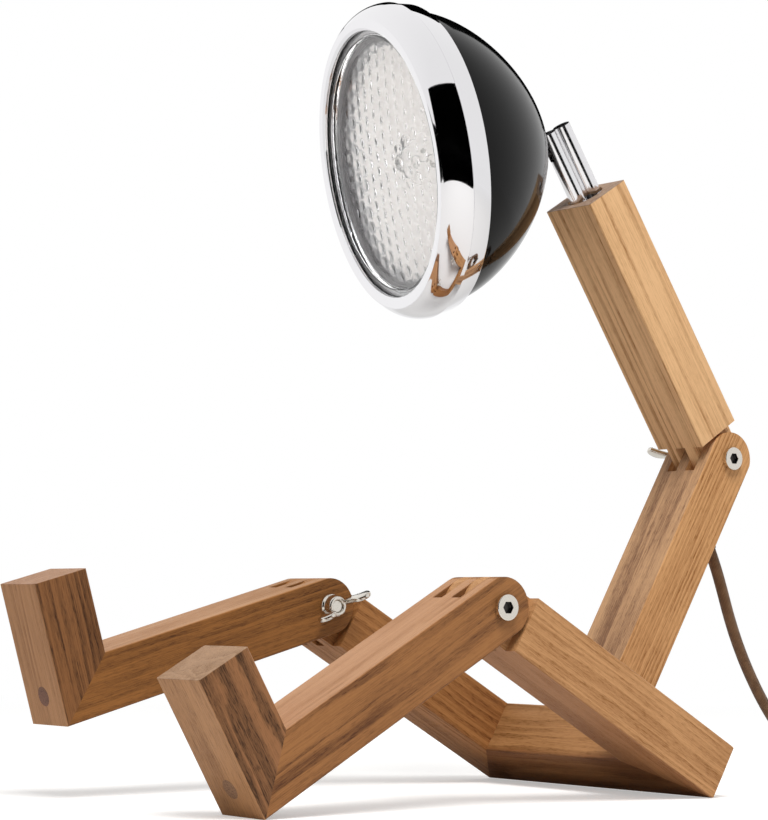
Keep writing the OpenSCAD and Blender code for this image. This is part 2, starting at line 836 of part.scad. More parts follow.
module reflector() {
    steps = 16;
    radii = [for (i = [0 : steps])
        reflector_hole_r + (reflector_r - reflector_hole_r) * i / steps];
    color("white") on_shell_axis() rotate_extrude($fn = 96) polygon(concat(
        [for (r = radii) [r, mirror_z(r)]],
        [[lens_r, rim_back], [lens_r, lens_back]],
        [for (i = [steps : -1 : 0]) [radii[i], mirror_z(radii[i]) + reflector_t]]
    ));
}

// Four angle clips hold the reflector's rim: each has a tab behind the rim and a leg down the shell.
module rim_clips() {
    count = 4;
    clip_w = 8;
    grip = 4;
    leg_x = shell_r - shell_wall - clip_t - 0.3;
    leg_z = border + 2;
    color(steel) on_shell_axis() for (i = [0 : count - 1]) {
        rotate([0, 0, (i + 0.5) * 360 / count]) {
            translate([lens_r - grip, -clip_w / 2, clip_back])
                cube([leg_x + clip_t - lens_r + grip, clip_w, clip_t]);
            translate([leg_x, -clip_w / 2, leg_z]) cube([clip_t, clip_w, clip_back - leg_z + clip_t]);
        }
    }
}

module lamp_holder() {
    color(black) on_shell_axis() difference() {
        union() {
            translate([0, 0, holder_front - holder_len]) cylinder(r = holder_r, h = holder_len);
            translate([0, 0, bowl_foot - flange_t]) cylinder(r = flange_r, h = flange_t);
        }
        translate([0, 0, bulb_start - bulb_base_len - 2])
            cylinder(r = bulb_base_r + 0.1, h = holder_len + bulb_base_len);
        for (x = [-holder_screw_x, holder_screw_x]) {
            translate([x, 0, bowl_foot - 2 * flange_t])
                cylinder(d = holder_screw_d + 0.2, h = 4 * flange_t);
        }
    }
}

module holder_screws() {
    tail = 6;
    head_d = 5.5;
    head_h = 2;
    color(steel) on_shell_axis() for (x = [-holder_screw_x, holder_screw_x]) {
        translate([x, 0, bowl_foot - flange_t - tail]) cylinder(d = holder_screw_d, h = flange_t + tail);
        translate([x, 0, bowl_foot - flange_t - head_h]) cylinder(d = head_d, h = head_h);
    }
}

module bulb() {
    color("white") on_shell_axis() {
        translate([0, 0, bulb_start - bulb_base_len]) cylinder(r = bulb_base_r, h = bulb_base_len + 2);
        translate([0, 0, bulb_start + 2]) cylinder(r = bulb_r, h = bulb_len - bulb_r);
        translate([0, 0, bulb_start + 2 + bulb_len - bulb_r]) sphere(r = bulb_r);
    }
}

// ---- Cord ----

function unit(v) = v / norm(v);

// Direction of the route at point i.
function heading(route, i) = unit(route[min(i + 1, len(route) - 1)] - route[max(i - 1, 0)]);

// Ring of a tube round a route at point i.
function tube_ring(route, i, sides) =
    let (ahead = heading(route, i), across = unit(cross(ahead, [0.3, 0.1, 1])))
    let (third = cross(ahead, across))
    [for (k = [0 : sides - 1])
        route[i] + cord_d / 2 * (across * cos(360 * (k + 0.5) / sides)
            + third * sin(360 * (k + 0.5) / sides))];

module route_tube(route) {
    sides = 10;
    last = len(route) - 1;
    points = [for (i = [0 : last]) each tube_ring(route, i, sides)];
    walls = [for (i = [0 : last - 1], k = [0 : sides - 1])
        [i * sides + k, i * sides + (k + 1) % sides,
            (i + 1) * sides + (k + 1) % sides, (i + 1) * sides + k]];
    ends = [[for (k = [sides - 1 : -1 : 0]) k], [for (k = [0 : sides - 1]) last * sides + k]];
    polyhedron(points, concat(walls, ends));
}

module cord_tube() color(cord_brown) route_tube(cord_route);

module switch_lead() color(cord_brown) route_tube(switch_route);

module plug_lead() color(cord_brown) route_tube(plug_route);

module cord_coil() {
    w = coil_r_out - coil_r_in;
    c = coil_corner;
    color(cord_brown) translate([coil_centre.x, coil_centre.y, floor_z]) rotate_extrude($fn = 64)
        translate([coil_r_in, 0]) polygon([
            [c, 0], [w - c, 0], [w, c], [w, coil_h - c],
            [w - c, coil_h], [c, coil_h], [0, coil_h - c], [0, c]
        ]);
}

// Band round the coil's turns, on the side away from the figure.
module cord_tie() {
    band = 1.2;
    gap = 0.3;
    tie_w = 8;
    inner = sqrt(coil_r_in * coil_r_in - tie_w * tie_w / 4) - gap;
    outer = coil_r_out + gap;
    color(black) translate([coil_centre.x, coil_centre.y, floor_z])
        rotate([0, 0, 100]) difference() {
            translate([inner - band, -tie_w / 2, 0])
                cube([outer - inner + 2 * band, tie_w, coil_h + gap + band]);
            translate([inner, -tie_w, -1]) cube([outer - inner, 2 * tie_w, coil_h + gap + 1]);
        }
}

module switch_housing() {
    window = [rocker_size.x + 2 * rocker_rim, rocker_size.y + 2 * rocker_rim];
    window_depth = 5;
    color(plastic_brown) difference() {
        translate([switch_from.x - switch_size.x / 2, switch_from.y, floor_z]) cube(switch_size);
        translate([switch_from.x - window.x / 2, switch_from.y + (switch_size.y - window.y) / 2,
            floor_z + switch_size.z - window_depth]) cube([window.x, window.y, 2 * window_depth]);
        at_rocker() x_rod(rocker_pin_d + 2 * spigot_fit, rocker_size.x + 4);
    }
}

// Rocker frame: the pivot is across the cord, just under the housing's top.
module at_rocker() {
    translate([switch_from.x, switch_from.y + switch_size.y / 2, rocker_pivot_z]) children();
}

module switch_rocker() {
    len = rocker_size.y;
    throw = 6;
    color(black) at_rocker() rotate([throw, 0, 0]) {
        cross_prism([
            [-len / 2 + 0.4, 1.2], [0, 0.2 + rocker_size.z / 2], [len / 2 - 0.4, 1.2],
            [len / 2 - 0.9, -1.2], [0, -rocker_size.z + 0.4], [-len / 2 + 0.9, -1.2]
        ], rocker_size.x);
        x_rod(rocker_pin_d, rocker_size.x + 3);
    }
}

module at_plug() {
    translate([plug_from.x, plug_from.y, lead_z]) rotate([-90, 0, 0]) children();
}

module plug_body() {
    neck = 12;
    tongue = 20;
    side = plug_t - 0.3;
    width = 35;
    color(plastic_brown) at_plug() intersection() {
        union() {
            cylinder(d1 = cord_d + 3, d2 = plug_t, h = neck);
            translate([0, 0, neck]) cylinder(d = plug_t, h = tongue - neck + 2);
            translate([-width / 2, -side / 2, tongue]) cube([width, side, plug_len - tongue]);
            translate([-side / 2, -side / 2, neck - 2]) cube([side, side, tongue - neck + 3]);
        }
        translate([-width, -plug_t / 2, -1]) cube([2 * width, plug_t, 2 * plug_len]);
    }
}

module plug_pins() {
    pin_pitch = 19;
    pin_d = 4;
    color(brass_tone) at_plug() for (x = [-pin_pitch / 2, pin_pitch / 2]) {
        translate([x, 0, plug_len]) cylinder(d = pin_d, h = pin_len);
    }
}

crossbar();
left_thigh();
right_thigh();
seat_dowels();
lower_torso();
waist_bolt();
waist_wing_nut();
upper_torso();
torso_lead();
left_shin();
left_foot();
left_foot_screw();
left_sole_plug();
left_knee_bolt();
left_wing_nut();
right_shin();
right_foot();
right_foot_screw();
right_sole_plug();
right_knee_bolt();
right_wing_nut();
neck_bush();
neck_post();
neck_circlip();
tilt_clamp_screw();
tilt_ball_stud();
tilt_nut();
head_shell();
bezel();
lens_gasket();
lens();
reflector();
rim_clips();
lamp_holder();
holder_screws();
bulb();
strain_relief();
cord_tube();
cord_coil();
cord_tie();
switch_lead();
switch_housing();
switch_rocker();
plug_lead();
plug_body();
plug_pins();
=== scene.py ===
from math import atan2, cos, pi, radians, sin, sqrt, tan

import bmesh
import bpy
from mathutils import Matrix, Vector


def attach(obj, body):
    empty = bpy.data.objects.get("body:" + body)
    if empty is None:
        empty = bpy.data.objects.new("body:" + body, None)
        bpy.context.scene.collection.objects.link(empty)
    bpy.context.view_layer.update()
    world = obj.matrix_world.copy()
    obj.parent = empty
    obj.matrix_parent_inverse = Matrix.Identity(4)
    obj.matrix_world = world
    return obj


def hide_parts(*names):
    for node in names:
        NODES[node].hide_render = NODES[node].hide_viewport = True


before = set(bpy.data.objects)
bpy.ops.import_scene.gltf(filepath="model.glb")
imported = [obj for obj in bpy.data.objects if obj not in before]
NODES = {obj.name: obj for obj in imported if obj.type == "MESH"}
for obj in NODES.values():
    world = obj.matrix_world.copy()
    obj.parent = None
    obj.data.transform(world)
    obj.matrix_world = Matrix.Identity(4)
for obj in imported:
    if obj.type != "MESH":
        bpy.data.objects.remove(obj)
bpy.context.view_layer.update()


# ---- Sizes, in millimetres, and the frames that the pieces are made in ----

BEAM_W, BEAM_T = 34.5, 28.0
SEAT_W, THIGH, TORSO, FOOT = 173.0, 157.5, 158.5, 68.5
FOOT_TOP = FOOT - BEAM_T / 2
KNEE_X = (SEAT_W - BEAM_W) / 2
NECK_BALL = (0, -4.5, 28)
SHELL_LIFT = 5.6
RELIEF_UP = 153.5
CORD_D = 6.0

# Degrees
SEAT_TILT = 30
LEFT_BEND, RIGHT_BEND, WAIST_BEND = 60, 46, 63
NECK_TURN, HEAD_RISE = -14.4, 20.7
RELIEF_LEAN = -125

FLOOR = -BEAM_W / 2 * sin(radians(SEAT_TILT))
METRE = 0.001
MM = Matrix.Scale(METRE, 4)


def turn(axis, angle):
    return Matrix.Rotation(radians(angle), 4, axis)


def shift(x, y, z):
    return Matrix.Translation((x, y, z))


SEAT = turn("X", -SEAT_TILT)
WAIST = SEAT @ shift(0, 0, BEAM_T + TORSO)
UPPER = WAIST @ turn("X", WAIST_BEND)
NECK = UPPER @ shift(0, 0, TORSO) @ turn("Z", NECK_TURN)
HEAD = NECK @ shift(*NECK_BALL) @ turn("X", 90 - HEAD_RISE)
SHELL = HEAD @ shift(0, SHELL_LIFT, 0)
LEFT_LEG = SEAT @ shift(KNEE_X, BEAM_W / 2 - THIGH, BEAM_T / 2) @ turn("X", LEFT_BEND)
RIGHT_LEG = SEAT @ shift(-KNEE_X, BEAM_W / 2 - THIGH, BEAM_T / 2) @ turn("X", RIGHT_BEND)
RELIEF = SEAT @ shift(0, BEAM_T / 2, RELIEF_UP) @ turn("X", RELIEF_LEAN)


# ---- Camera ----

CAMERA_AT = (1.016098, -0.862772, 0.080980)
CAMERA_TURN, CAMERA_RISE, CAMERA_ROLL = 53.848, -4.369, 0.498
SENSOR = 36
FRAME_PIXELS = 820
LENS_PIXELS = 2608.145


def set_camera():
    az, el, roll = radians(CAMERA_TURN), radians(CAMERA_RISE), radians(CAMERA_ROLL)
    back = Vector((sin(az) * cos(el), -cos(az) * cos(el), sin(el)))
    right = (-back).cross(Vector((0, 0, 1))).normalized()
    up = right.cross(-back)
    across = cos(roll) * right + sin(roll) * up
    upward = cos(roll) * up - sin(roll) * right
    data = bpy.data.cameras.new("camera")
    data.sensor_width = SENSOR
    data.lens = LENS_PIXELS * SENSOR / FRAME_PIXELS
    data.clip_start = 0.05
    camera = bpy.data.objects.new("camera", data)
    bpy.context.scene.collection.objects.link(camera)
    place = Matrix((across, upward, back)).transposed().to_4x4()
    place.translation = Vector(CAMERA_AT)
    camera.matrix_world = place
    bpy.context.scene.camera = camera


set_camera()


# ---- Making pieces ----

def keep(name, bm, frame_at=None, smooth=40):
    """A finished piece from a bmesh in millimetres, with its place in its mesh."""
    if frame_at is not None:
        bm.transform(MM @ frame_at)
    mesh = bpy.data.meshes.new(name)
    bm.to_mesh(mesh)
    bm.free()
    piece = bpy.data.objects.new(name, mesh)
    bpy.context.scene.collection.objects.link(piece)
    if smooth:
        mesh.shade_smooth()
        mesh.set_sharp_from_angle(angle=radians(smooth))
    return piece


def fit(piece, body, slot, finish, *nodes):
    """Put a piece on its body with its finish, in place of the solids it dresses."""
    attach(piece, body)
    if nodes:
        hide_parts(*nodes)
    piece.data.materials.clear()
    piece.data.materials.append(finish)
    return piece


def paint(finish, *nodes):
    """Give solids their finish."""
    for node in nodes:
        NODES[node].data.materials.clear()
        NODES[node].data.materials.append(finish)


def spin_outline(bm, outline, steps, closed=True):
    """Turn an outline of (radius, height) points about the Z axis."""
    dots = [bm.verts.new((r, 0, z)) for r, z in outline]
    pairs = list(zip(dots, dots[1:]))
    if closed:
        pairs.append((dots[-1], dots[0]))
    lines = [bm.edges.new(p) for p in pairs]
    bmesh.ops.spin(bm, geom=dots + lines, cent=(0, 0, 0), axis=(0, 0, 1), dvec=(0, 0, 0),
                   angle=2 * pi, steps=steps, use_merge=True, use_duplicate=False)
    bmesh.ops.remove_doubles(bm, verts=bm.verts, dist=1e-4)
    bmesh.ops.recalc_face_normals(bm, faces=bm.faces)


def spun(name, outline, frame_at, steps, closed=True, smooth=40):
    """Turned piece from its outline."""
    bm = bmesh.new()
    spin_outline(bm, outline, steps, closed)
    return keep(name, bm, frame_at, smooth)


def rounded(points, radius, steps=4):
    """Outline with its corners rounded. A point is (r, z) or, with a radius of its own, (r, z, radius)."""
    most = 0.45
    least = 0.02
    out = []
    count = len(points)
    for i, p in enumerate(points):
        here = Vector(p[:2])
        size = p[2] if len(p) > 2 else radius
        before = Vector(points[i - 1][:2]) - here
        after = Vector(points[(i + 1) % count][:2]) - here
        size = min(size, before.length * most, after.length * most)
        if size < least:
            out.append(tuple(here))
            continue
        a = here + before.normalized() * size
        b = here + after.normalized() * size
        for k in range(steps + 1):
            t = k / steps
            out.append(tuple((1 - t) ** 2 * a + 2 * t * (1 - t) * here + t * t * b))
    return out


def dressed(node, name, edge, steps, limit):
    """Copy of a solid with its edges broken by a fine round, where they turn by more than a limit."""
    bm = bmesh.new()
    bm.from_mesh(NODES[node].data)
    bmesh.ops.remove_doubles(bm, verts=bm.verts, dist=2e-6)
    bmesh.ops.dissolve_limit(bm, angle_limit=radians(1), verts=bm.verts, edges=bm.edges)
    piece = keep(name, bm, smooth=30)
    round_off = piece.modifiers.new("edges", "BEVEL")
    round_off.width = edge * METRE
    round_off.segments = steps
    round_off.limit_method = "ANGLE"
    round_off.angle_limit = radians(limit)
    round_off.harden_normals = True
    return piece


# ---- Finishes ----

WHITE = (1, 1, 1, 1)
TO_MM = (1000, 1000, 1000)


def tone(code):
    """Linear colour from a six figure colour code."""
    parts = [int(code[i:i + 2], 16) / 255 for i in (0, 2, 4)]
    return [*(v / 12.92 if v <= 0.04045 else ((v + 0.055) / 1.055) ** 2.4 for v in parts), 1]


class Nodes:
    """Short calls for the nodes of a tree."""

    def __init__(self, tree):
        self.tree = tree

    def node(self, kind, **settings):
        made = self.tree.nodes.new(kind)
        for key, value in settings.items():
            setattr(made, key, value)
        return made

    def link(self, source, target):
        self.tree.links.new(source, target)

    def feed(self, target, value):
        """Link a node's output to a socket, or set the socket to a plain value."""
        if hasattr(value, "node"):
            self.link(value, target)
        else:
            target.default_value = value

    def map(self, vector, scale, location=(0, 0, 0), rotation=(0, 0, 0)):
        """Coordinates scaled, turned and moved."""
        mapping = self.node("ShaderNodeMapping")
        mapping.inputs["Scale"].default_value = scale
        mapping.inputs["Rotation"].default_value = rotation
        mapping.inputs["Location"].default_value = location
        self.link(vector, mapping.inputs["Vector"])
        return mapping.outputs[0]

    def place(self):
        """Coordinates of the piece itself, in millimetres."""
        return self.map(self.node("ShaderNodeTexCoord").outputs["Object"], TO_MM)

    def place_in(self, frame_at):
        """Coordinates in one of the frames above, in millimetres."""
        local = frame_at.inverted()
        return self.map(self.node("ShaderNodeTexCoord").outputs["Object"], TO_MM,
                        local.translation, local.to_euler("XYZ"))

    def noise(self, vector, scale, detail=2.0, rough=0.5, output="Fac"):
        made = self.node("ShaderNodeTexNoise")
        self.link(vector, made.inputs["Vector"])
        made.inputs["Scale"].default_value = scale
        made.inputs["Detail"].default_value = detail
        made.inputs["Roughness"].default_value = rough
        return made.outputs[output]

    def streaks(self, vector, scale, location=(0, 0, 0), detail=2.0, rough=0.5):
        """Noise with a scale of its own along each axis."""
        return self.noise(self.map(vector, scale, location), 1.0, detail, rough)

    def sway(self, vector, scale, location, detail, rough, reach):
        """Noise that moves coordinates across the grain, within a reach in millimetres."""
        cloud = self.noise(self.map(vector, scale, location), 1.0, detail, rough, "Color")
        return self.move("MULTIPLY", self.move("SUBTRACT", cloud, (0.5, 0.5, 0.5)), (reach, 0, reach))

    def sum(self, operation, a, b=0.0, clamp=False):
        """One step of arithmetic."""
        made = self.node("ShaderNodeMath", operation=operation, use_clamp=clamp)
        self.feed(made.inputs[0], a)
        self.feed(made.inputs[1], b)
        return made.outputs[0]

    def move(self, operation, a, b=(0, 0, 0)):
        """One step of arithmetic on vectors."""
        made = self.node("ShaderNodeVectorMath", operation=operation)
        self.feed(made.inputs[0], a)
        self.feed(made.inputs[1], b)
        return made.outputs["Value"] if operation in ("LENGTH", "DOT_PRODUCT") else made.outputs[0]

    def range(self, value, low, high, to_low=0.0, to_high=1.0, smooth=True):
        """A value carried from one range to another and held at its ends."""
        made = self.node("ShaderNodeMapRange")
        made.interpolation_type = "SMOOTHSTEP" if smooth else "LINEAR"
        self.feed(made.inputs["Value"], value)
        made.inputs["From Min"].default_value = low
        made.inputs["From Max"].default_value = high
        made.inputs["To Min"].default_value = to_low
        made.inputs["To Max"].default_value = to_high
        return made.outputs["Result"]

    def blend(self, factor, a, b):
        """Colour between a and b."""
        made = self.node("ShaderNodeMix", data_type="RGBA")
        self.feed(made.inputs["Factor"], factor)
        self.feed(made.inputs[6], a)
        self.feed(made.inputs[7], b)
        return made.outputs[2]


class Finish(Nodes):
    """A material with one main shader."""

    def __init__(self, name, colour, rough, metal, specular):
        self.material = bpy.data.materials.new(name)
        self.material.use_nodes = True
        super().__init__(self.material.node_tree)
        self.tree.nodes.clear()
        self.shader = self.node("ShaderNodeBsdfPrincipled")
        self.output = self.node("ShaderNodeOutputMaterial")
        self.link(self.shader.outputs[0], self.output.inputs[0])
        self.set("Base Color", tone(colour))
        self.set("Roughness", rough)
        self.set("Metallic", metal)
        self.set("Specular IOR Level", specular)

    def set(self, socket, value):
        self.shader.inputs[socket].default_value = value

    def colour(self, value):
        self.link(value, self.shader.inputs["Base Color"])

    def roughness(self, value):
        self.link(value, self.shader.inputs["Roughness"])

    def relief(self, height, depth, strength):
        """Bump of a height from 0 to 1, that many millimetres deep."""
        bump = self.node("ShaderNodeBump")
        bump.inputs["Strength"].default_value = strength
        bump.inputs["Distance"].default_value = depth * METRE
        self.link(height, bump.inputs["Height"])
        self.link(bump.outputs[0], self.shader.inputs["Normal"])

    def give_way(self, factor, other):
        """Let another shader take over by a factor."""
        mix = self.node("ShaderNodeMixShader")
        self.link(factor, mix.inputs[0])
        self.link(self.shader.outputs[0], mix.inputs[1])
        self.link(other.outputs[0], mix.inputs[2])
        self.link(mix.outputs[0], self.output.inputs[0])


GRAIN_TO_Y = {"Y": Matrix.Identity(4), "Z": turn("X", 90), "X": turn("Z", 90)}
BROAD_FACE = (BEAM_T / 2 - 0.5, BEAM_T / 2 - 0.1)
NARROW_FACE = (BEAM_W / 2 - 0.55, BEAM_W / 2 - 0.15)
END_DEPTH = 0.3


def ash(name, frame_at, grain, pith, ring, light, dark, band, pores, wave, seed, late=0.95,
        heartwood_and_painted_light=None, tint_way=(0, 0, 1), tint_span=BROAD_FACE, tint_shade=1.0, tint_band=0.0,
        end=None, end_from=0):
    """Oiled ash. The rings turn about a pith line beside the timber, and the pores run along it.

    ring is a year's width, late how far through a year its pores last, and band and pores how dark
    rings and pores are. A second pair of colours can go on one face, or on all past a line: a darker
    face of the wood on some timbers, painted light on the lighter top faces of the shins, and painted
    shade on the darker undersides of the left thigh and the crossbar. end gives the end grain."""
    f = Finish(name, light, 0.5, 0.0, 0.22)
    at = f.place_in(frame_at @ GRAIN_TO_Y[grain])

    slow = f.sway(at, (0.05, 0.009, 0.05), (seed, seed * 2, 0), 2.0, 0.5, 8 * wave)
    fine = f.sway(at, (0.4, 0.06, 0.4), (0, seed, 0), 3.0, 0.6, 1.5 * wave)
    bent = f.move("ADD", f.move("ADD", at, slow), fine)
    spoke = f.move("MULTIPLY", f.move("SUBTRACT", bent, (pith[0], 0, pith[1])), (1, 0, 1))
    radius = f.move("LENGTH", spoke)
    uneven = f.streaks(spoke, (0.09, 0, 0.09), (seed, 0, seed))
    turns = f.sum("ADD", f.sum("DIVIDE", radius, ring), f.sum("MULTIPLY", uneven, 3.2))
    year = f.sum("FRACT", turns)

    early = f.sum("MULTIPLY", f.range(year, 0.0, 0.16), f.range(year, 0.2, late, 1.0, 0.0))
    patch = f.streaks(at, (0.055, 0.02, 0.055), (seed, 3, seed))
    early = f.sum("MULTIPLY", early, f.range(patch, 0.38, 0.62, 0.4, 1.15, False))
    vessel = f.range(f.streaks(at, (1.5, 0.2, 1.5), (seed, 0, 0), 2.0, 0.55), 0.52, 0.66)
    hair = f.range(f.streaks(at, (3.0, 0.22, 3.0), (0, seed, 0), 2.0, 0.6), 0.46, 0.66)
    pore = f.sum("ADD", f.sum("MULTIPLY", vessel, 0.6), f.sum("MULTIPLY", hair, 0.5))
    pore = f.sum("MULTIPLY", pore, f.sum("ADD", f.sum("MULTIPLY", early, 0.5), 0.6))
    fibre = f.streaks(at, (2.0, 0.03, 2.0), (0, 0, seed), 4.0, 0.65)
    cloud = f.streaks(at, (0.06, 0.012, 0.06), (seed, seed, 0))

    shade = f.sum("ADD", f.sum("MULTIPLY", early, band), f.sum("MULTIPLY", pore, pores))
    shade = f.sum("ADD", shade, f.range(fibre, 0.32, 0.68, -0.2, 0.3, False))
    shade = f.sum("ADD", shade, f.range(cloud, 0.3, 0.7, -0.1, 0.16, False), clamp=True)
    wood = f.blend(shade, tone(light), tone(dark))
    # The second pair of colours: the wood's own darker face on some timbers, painted light and painted
    # shade on others.
    if heartwood_and_painted_light:
        flat_face = tint_span[1] - tint_span[0] < 3
        side = f.move("DOT_PRODUCT", at if flat_face else bent, tint_way)
        depth = f.sum("ADD", f.sum("MULTIPLY", shade, tint_shade),
                      f.sum("MULTIPLY", early, tint_band), clamp=True)
        wood = f.blend(f.range(side, *tint_span, 0.0, 0.95), wood,
                       f.blend(depth, tone(heartwood_and_painted_light[0]), tone(heartwood_and_painted_light[1])))
    if end:
        along = f.move("DOT_PRODUCT", at, (0, 1, 0))
        spots = f.streaks(at, (0.9, 0.9, 0.9), (seed, 0, 0), 3.0, 0.6)
        cut = f.sum("ADD", f.sum("MULTIPLY", early, 0.5),
                    f.range(spots, 0.4, 0.7, 0.0, 0.6), clamp=True)
        wood = f.blend(f.range(along, end_from, end_from + 0.2), wood,
                       f.blend(cut, tone(end[0]), tone(end[1])))
    f.colour(wood)
    f.roughness(f.range(shade, 0.0, 1.0, 0.46, 0.62, False))
    open_grain = f.sum("ADD", f.sum("MULTIPLY", pore, 0.8), f.sum("MULTIPLY", fibre, 0.25))
    f.relief(f.sum("SUBTRACT", 1.0, open_grain), 0.16, 0.6)
    return f.material


def end_grain_plug(name, light, dark):
    """Dowel or plug cut across its grain."""
    f = Finish(name, light, 0.55, 0.0, 0.3)
    dots = f.noise(f.place(), 1.6, 2.0, 0.6)
    f.colour(f.blend(f.range(dots, 0.4, 0.65), tone(light), tone(dark)))
    f.relief(dots, 0.15, 0.5)
    return f.material


def bright_metal(name, colour, rough, haze, scale=0.4):
    """Polished or plated metal with a faint uneven haze."""
    f = Finish(name, colour, rough, 1.0, 0.5)
    cloud = f.noise(f.place(), scale, 4.0, 0.6)
    f.roughness(f.range(cloud, 0.3, 0.7, rough, rough + haze, False))
    return f.material


def worked_metal(name, colour, rough):
    """Turned steel or brass with fine tool marks."""
    f = Finish(name, colour, rough, 1.0, 0.5)
    marks = f.streaks(f.place(), (0.5, 6, 6), (0, 0, 0), 4.0, 0.7)
    f.roughness(f.range(marks, 0.3, 0.7, rough, rough + 0.15, False))
    f.relief(marks, 0.02, 0.5)
    return f.material


def black_enamel():
    """Glossy stoved enamel with a faint peel and dust."""
    f = Finish("black_enamel", "040404", 0.09, 0.0, 0.23)
    at = f.place()
    f.relief(f.noise(at, 0.35), 0.010, 0.5)
    dust = f.noise(at, 3.0, 3.0, 0.7)
    f.roughness(f.range(dust, 0.5, 0.8, 0.08, 0.16, False))
    return f.material


def moulded(name, colour, rough, grain):
    """Moulded plastic or rubber with a fine spark-eroded grain."""
    f = Finish(name, colour, rough, 0.0, 0.4)
    speck = f.noise(f.place(), 3.5, 3.0, 0.6)
    f.relief(speck, grain, 0.5)
    f.roughness(f.range(speck, 0.3, 0.7, rough - 0.05, rough + 0.1, False))
    return f.material


def clear_glass(name, rough, bending, ripple, depth, strength):
    """Glass with a slow ripple in its faces: ripple is the scale, detail and roughness of its noise."""
    f = Finish(name, "ffffff", rough, 0.0, 0.5)
    f.set("IOR", bending)
    f.set("Transmission Weight", 1.0)
    f.relief(f.noise(f.place(), *ripple), depth, strength)
    return f.material


def spun_aluminium(bright, rim_shade, edge_from, edge_to):
    """Fine turned rings, bright to a mottled line near the rim, and outside it a darker grey that is
    painted shade.
    """
    f = Finish("spun_aluminium", bright, 0.3, 0.05, 0.5)
    at = f.place_in(SHELL)
    radius = f.move("LENGTH", f.move("MULTIPLY", at, (1, 1, 0)))
    rings = f.sum("SINE", f.sum("MULTIPLY", radius, 2.2))
    f.relief(f.range(rings, -1, 1), 0.02, 0.4)
    cloud = f.noise(at, 0.1, 3.0, 0.6)
    f.roughness(f.range(cloud, 0.3, 0.7, 0.26, 0.36, False))
    mottle = f.noise(at, 0.22, 3.0, 0.6)
    # Painted shade: a darker grey from a mottled line near the rim outward.
    edge = f.sum("ADD", radius, f.range(mottle, 0.3, 0.7, -2.5, 2.5, False))
    f.colour(f.blend(f.range(edge, edge_from, edge_to), tone(bright), tone(rim_shade)))
    return f.material


def braided_textile():
    """Plaited cotton sleeve: two sets of threads cross over each other round the cord."""
    f = Finish("braided_textile", "6b4c36", 0.85, 0.0, 0.25)
    at = f.node("ShaderNodeTexCoord").outputs["UV"]
    parts = f.node("ShaderNodeSeparateXYZ")
    f.link(at, parts.inputs[0])
    threads_round, pitch = 12.0, 0.92
    across = f.sum("MULTIPLY", parts.outputs[0], threads_round)
    along = f.sum("DIVIDE", parts.outputs[1], pitch)
    left, right = (f.sum("SINE", f.sum("MULTIPLY", f.sum(way, across, along), 2 * pi))
                   for way in ("ADD", "SUBTRACT"))
    height = f.sum("ADD", f.sum("MULTIPLY", f.sum("MULTIPLY", left, right), 0.5), 0.5)
    over = f.range(f.sum("ADD", left, right), -1.2, 1.2)
    crown = f.blend(over, tone("7a563b"), tone("8f6a4a"))
    # Darker where the threads dip between each other: painted shade in the grooves.
    thread_and_groove_shade = f.blend(f.range(height, 0.1, 0.8), tone("44301f"), crown)
    wear = f.streaks(at, (3, 0.12, 1), (0, 0, 0), 3.0, 0.6)
    f.colour(f.blend(f.range(wear, 0.35, 0.7, 0.0, 0.35), thread_and_groove_shade, tone("9c7858")))
    f.relief(height, 0.22, 0.9)
    f.set("Sheen Weight", 0.25)
    f.set("Sheen Roughness", 0.5)
    return f.material


CHROME = bright_metal("chrome_plate", "f1f0f2", 0.025, 0.03)
SATIN_CHROME = bright_metal("satin_chrome_plate", "f1f0f2", 0.11, 0.04)
NICKEL = bright_metal("nickel_plate", "e2dcd2", 0.12, 0.10, 0.8)
STEEL = worked_metal("bright_steel", "b9b7b2", 0.28)
# Dark grey for the bolts' hexagon sockets: painted shade in the recess.
SOCKET_SHADE = worked_metal("socket_painted_shade", "4a4745", 0.35)
DARK_STEEL = worked_metal("blackened_steel", "3a393a", 0.3)
BRASS = worked_metal("turned_brass", "c9a45c", 0.25)
ENAMEL = black_enamel()
GLASS = clear_glass("pressed_glass", 0.02, 1.5, (0.25, 3.0, 0.6), 0.12, 0.6)
BULB_GLASS = clear_glass("bulb_glass_clear", 0.0, 1.45, (0.2, 2.0), 0.05, 0.4)
# From 56.5 to 60.5 mm out the reflector turns a darker grey: painted shade at its rim.
REFLECTOR = spun_aluminium("fdf8f4", "8a888a", 56.5, 60.5)
RUBBER = moulded("black_rubber", "121212", 0.6, 0.08)
HOLDER = moulded("black_holder", "1b1a19", 0.4, 0.04)
TEXTILE = braided_textile()
BROWN_PLASTIC = moulded("brown_plastic", "2f211a", 0.36, 0.04)
ROCKER = moulded("rocker_plastic", "3d2c23", 0.3, 0.02)
TIE = moulded("tie_band", "161616", 0.55, 0.05)


# ---- Timbers ----

THIGH_Y = -60
LEFT_THIGH = SEAT @ shift(KNEE_X, THIGH_Y, BEAM_T / 2)
RIGHT_THIGH = SEAT @ shift(-KNEE_X, THIGH_Y, BEAM_T / 2)
# A darker colour pair on the underside: painted shade.
PAINTED_SHADE_UNDERSIDE = {"tint_way": (0, 0, -1)}
FOOT_SIDE = {"tint_way": (1, 0, 0), "tint_span": NARROW_FACE, "end_from": FOOT_TOP - END_DEPTH}

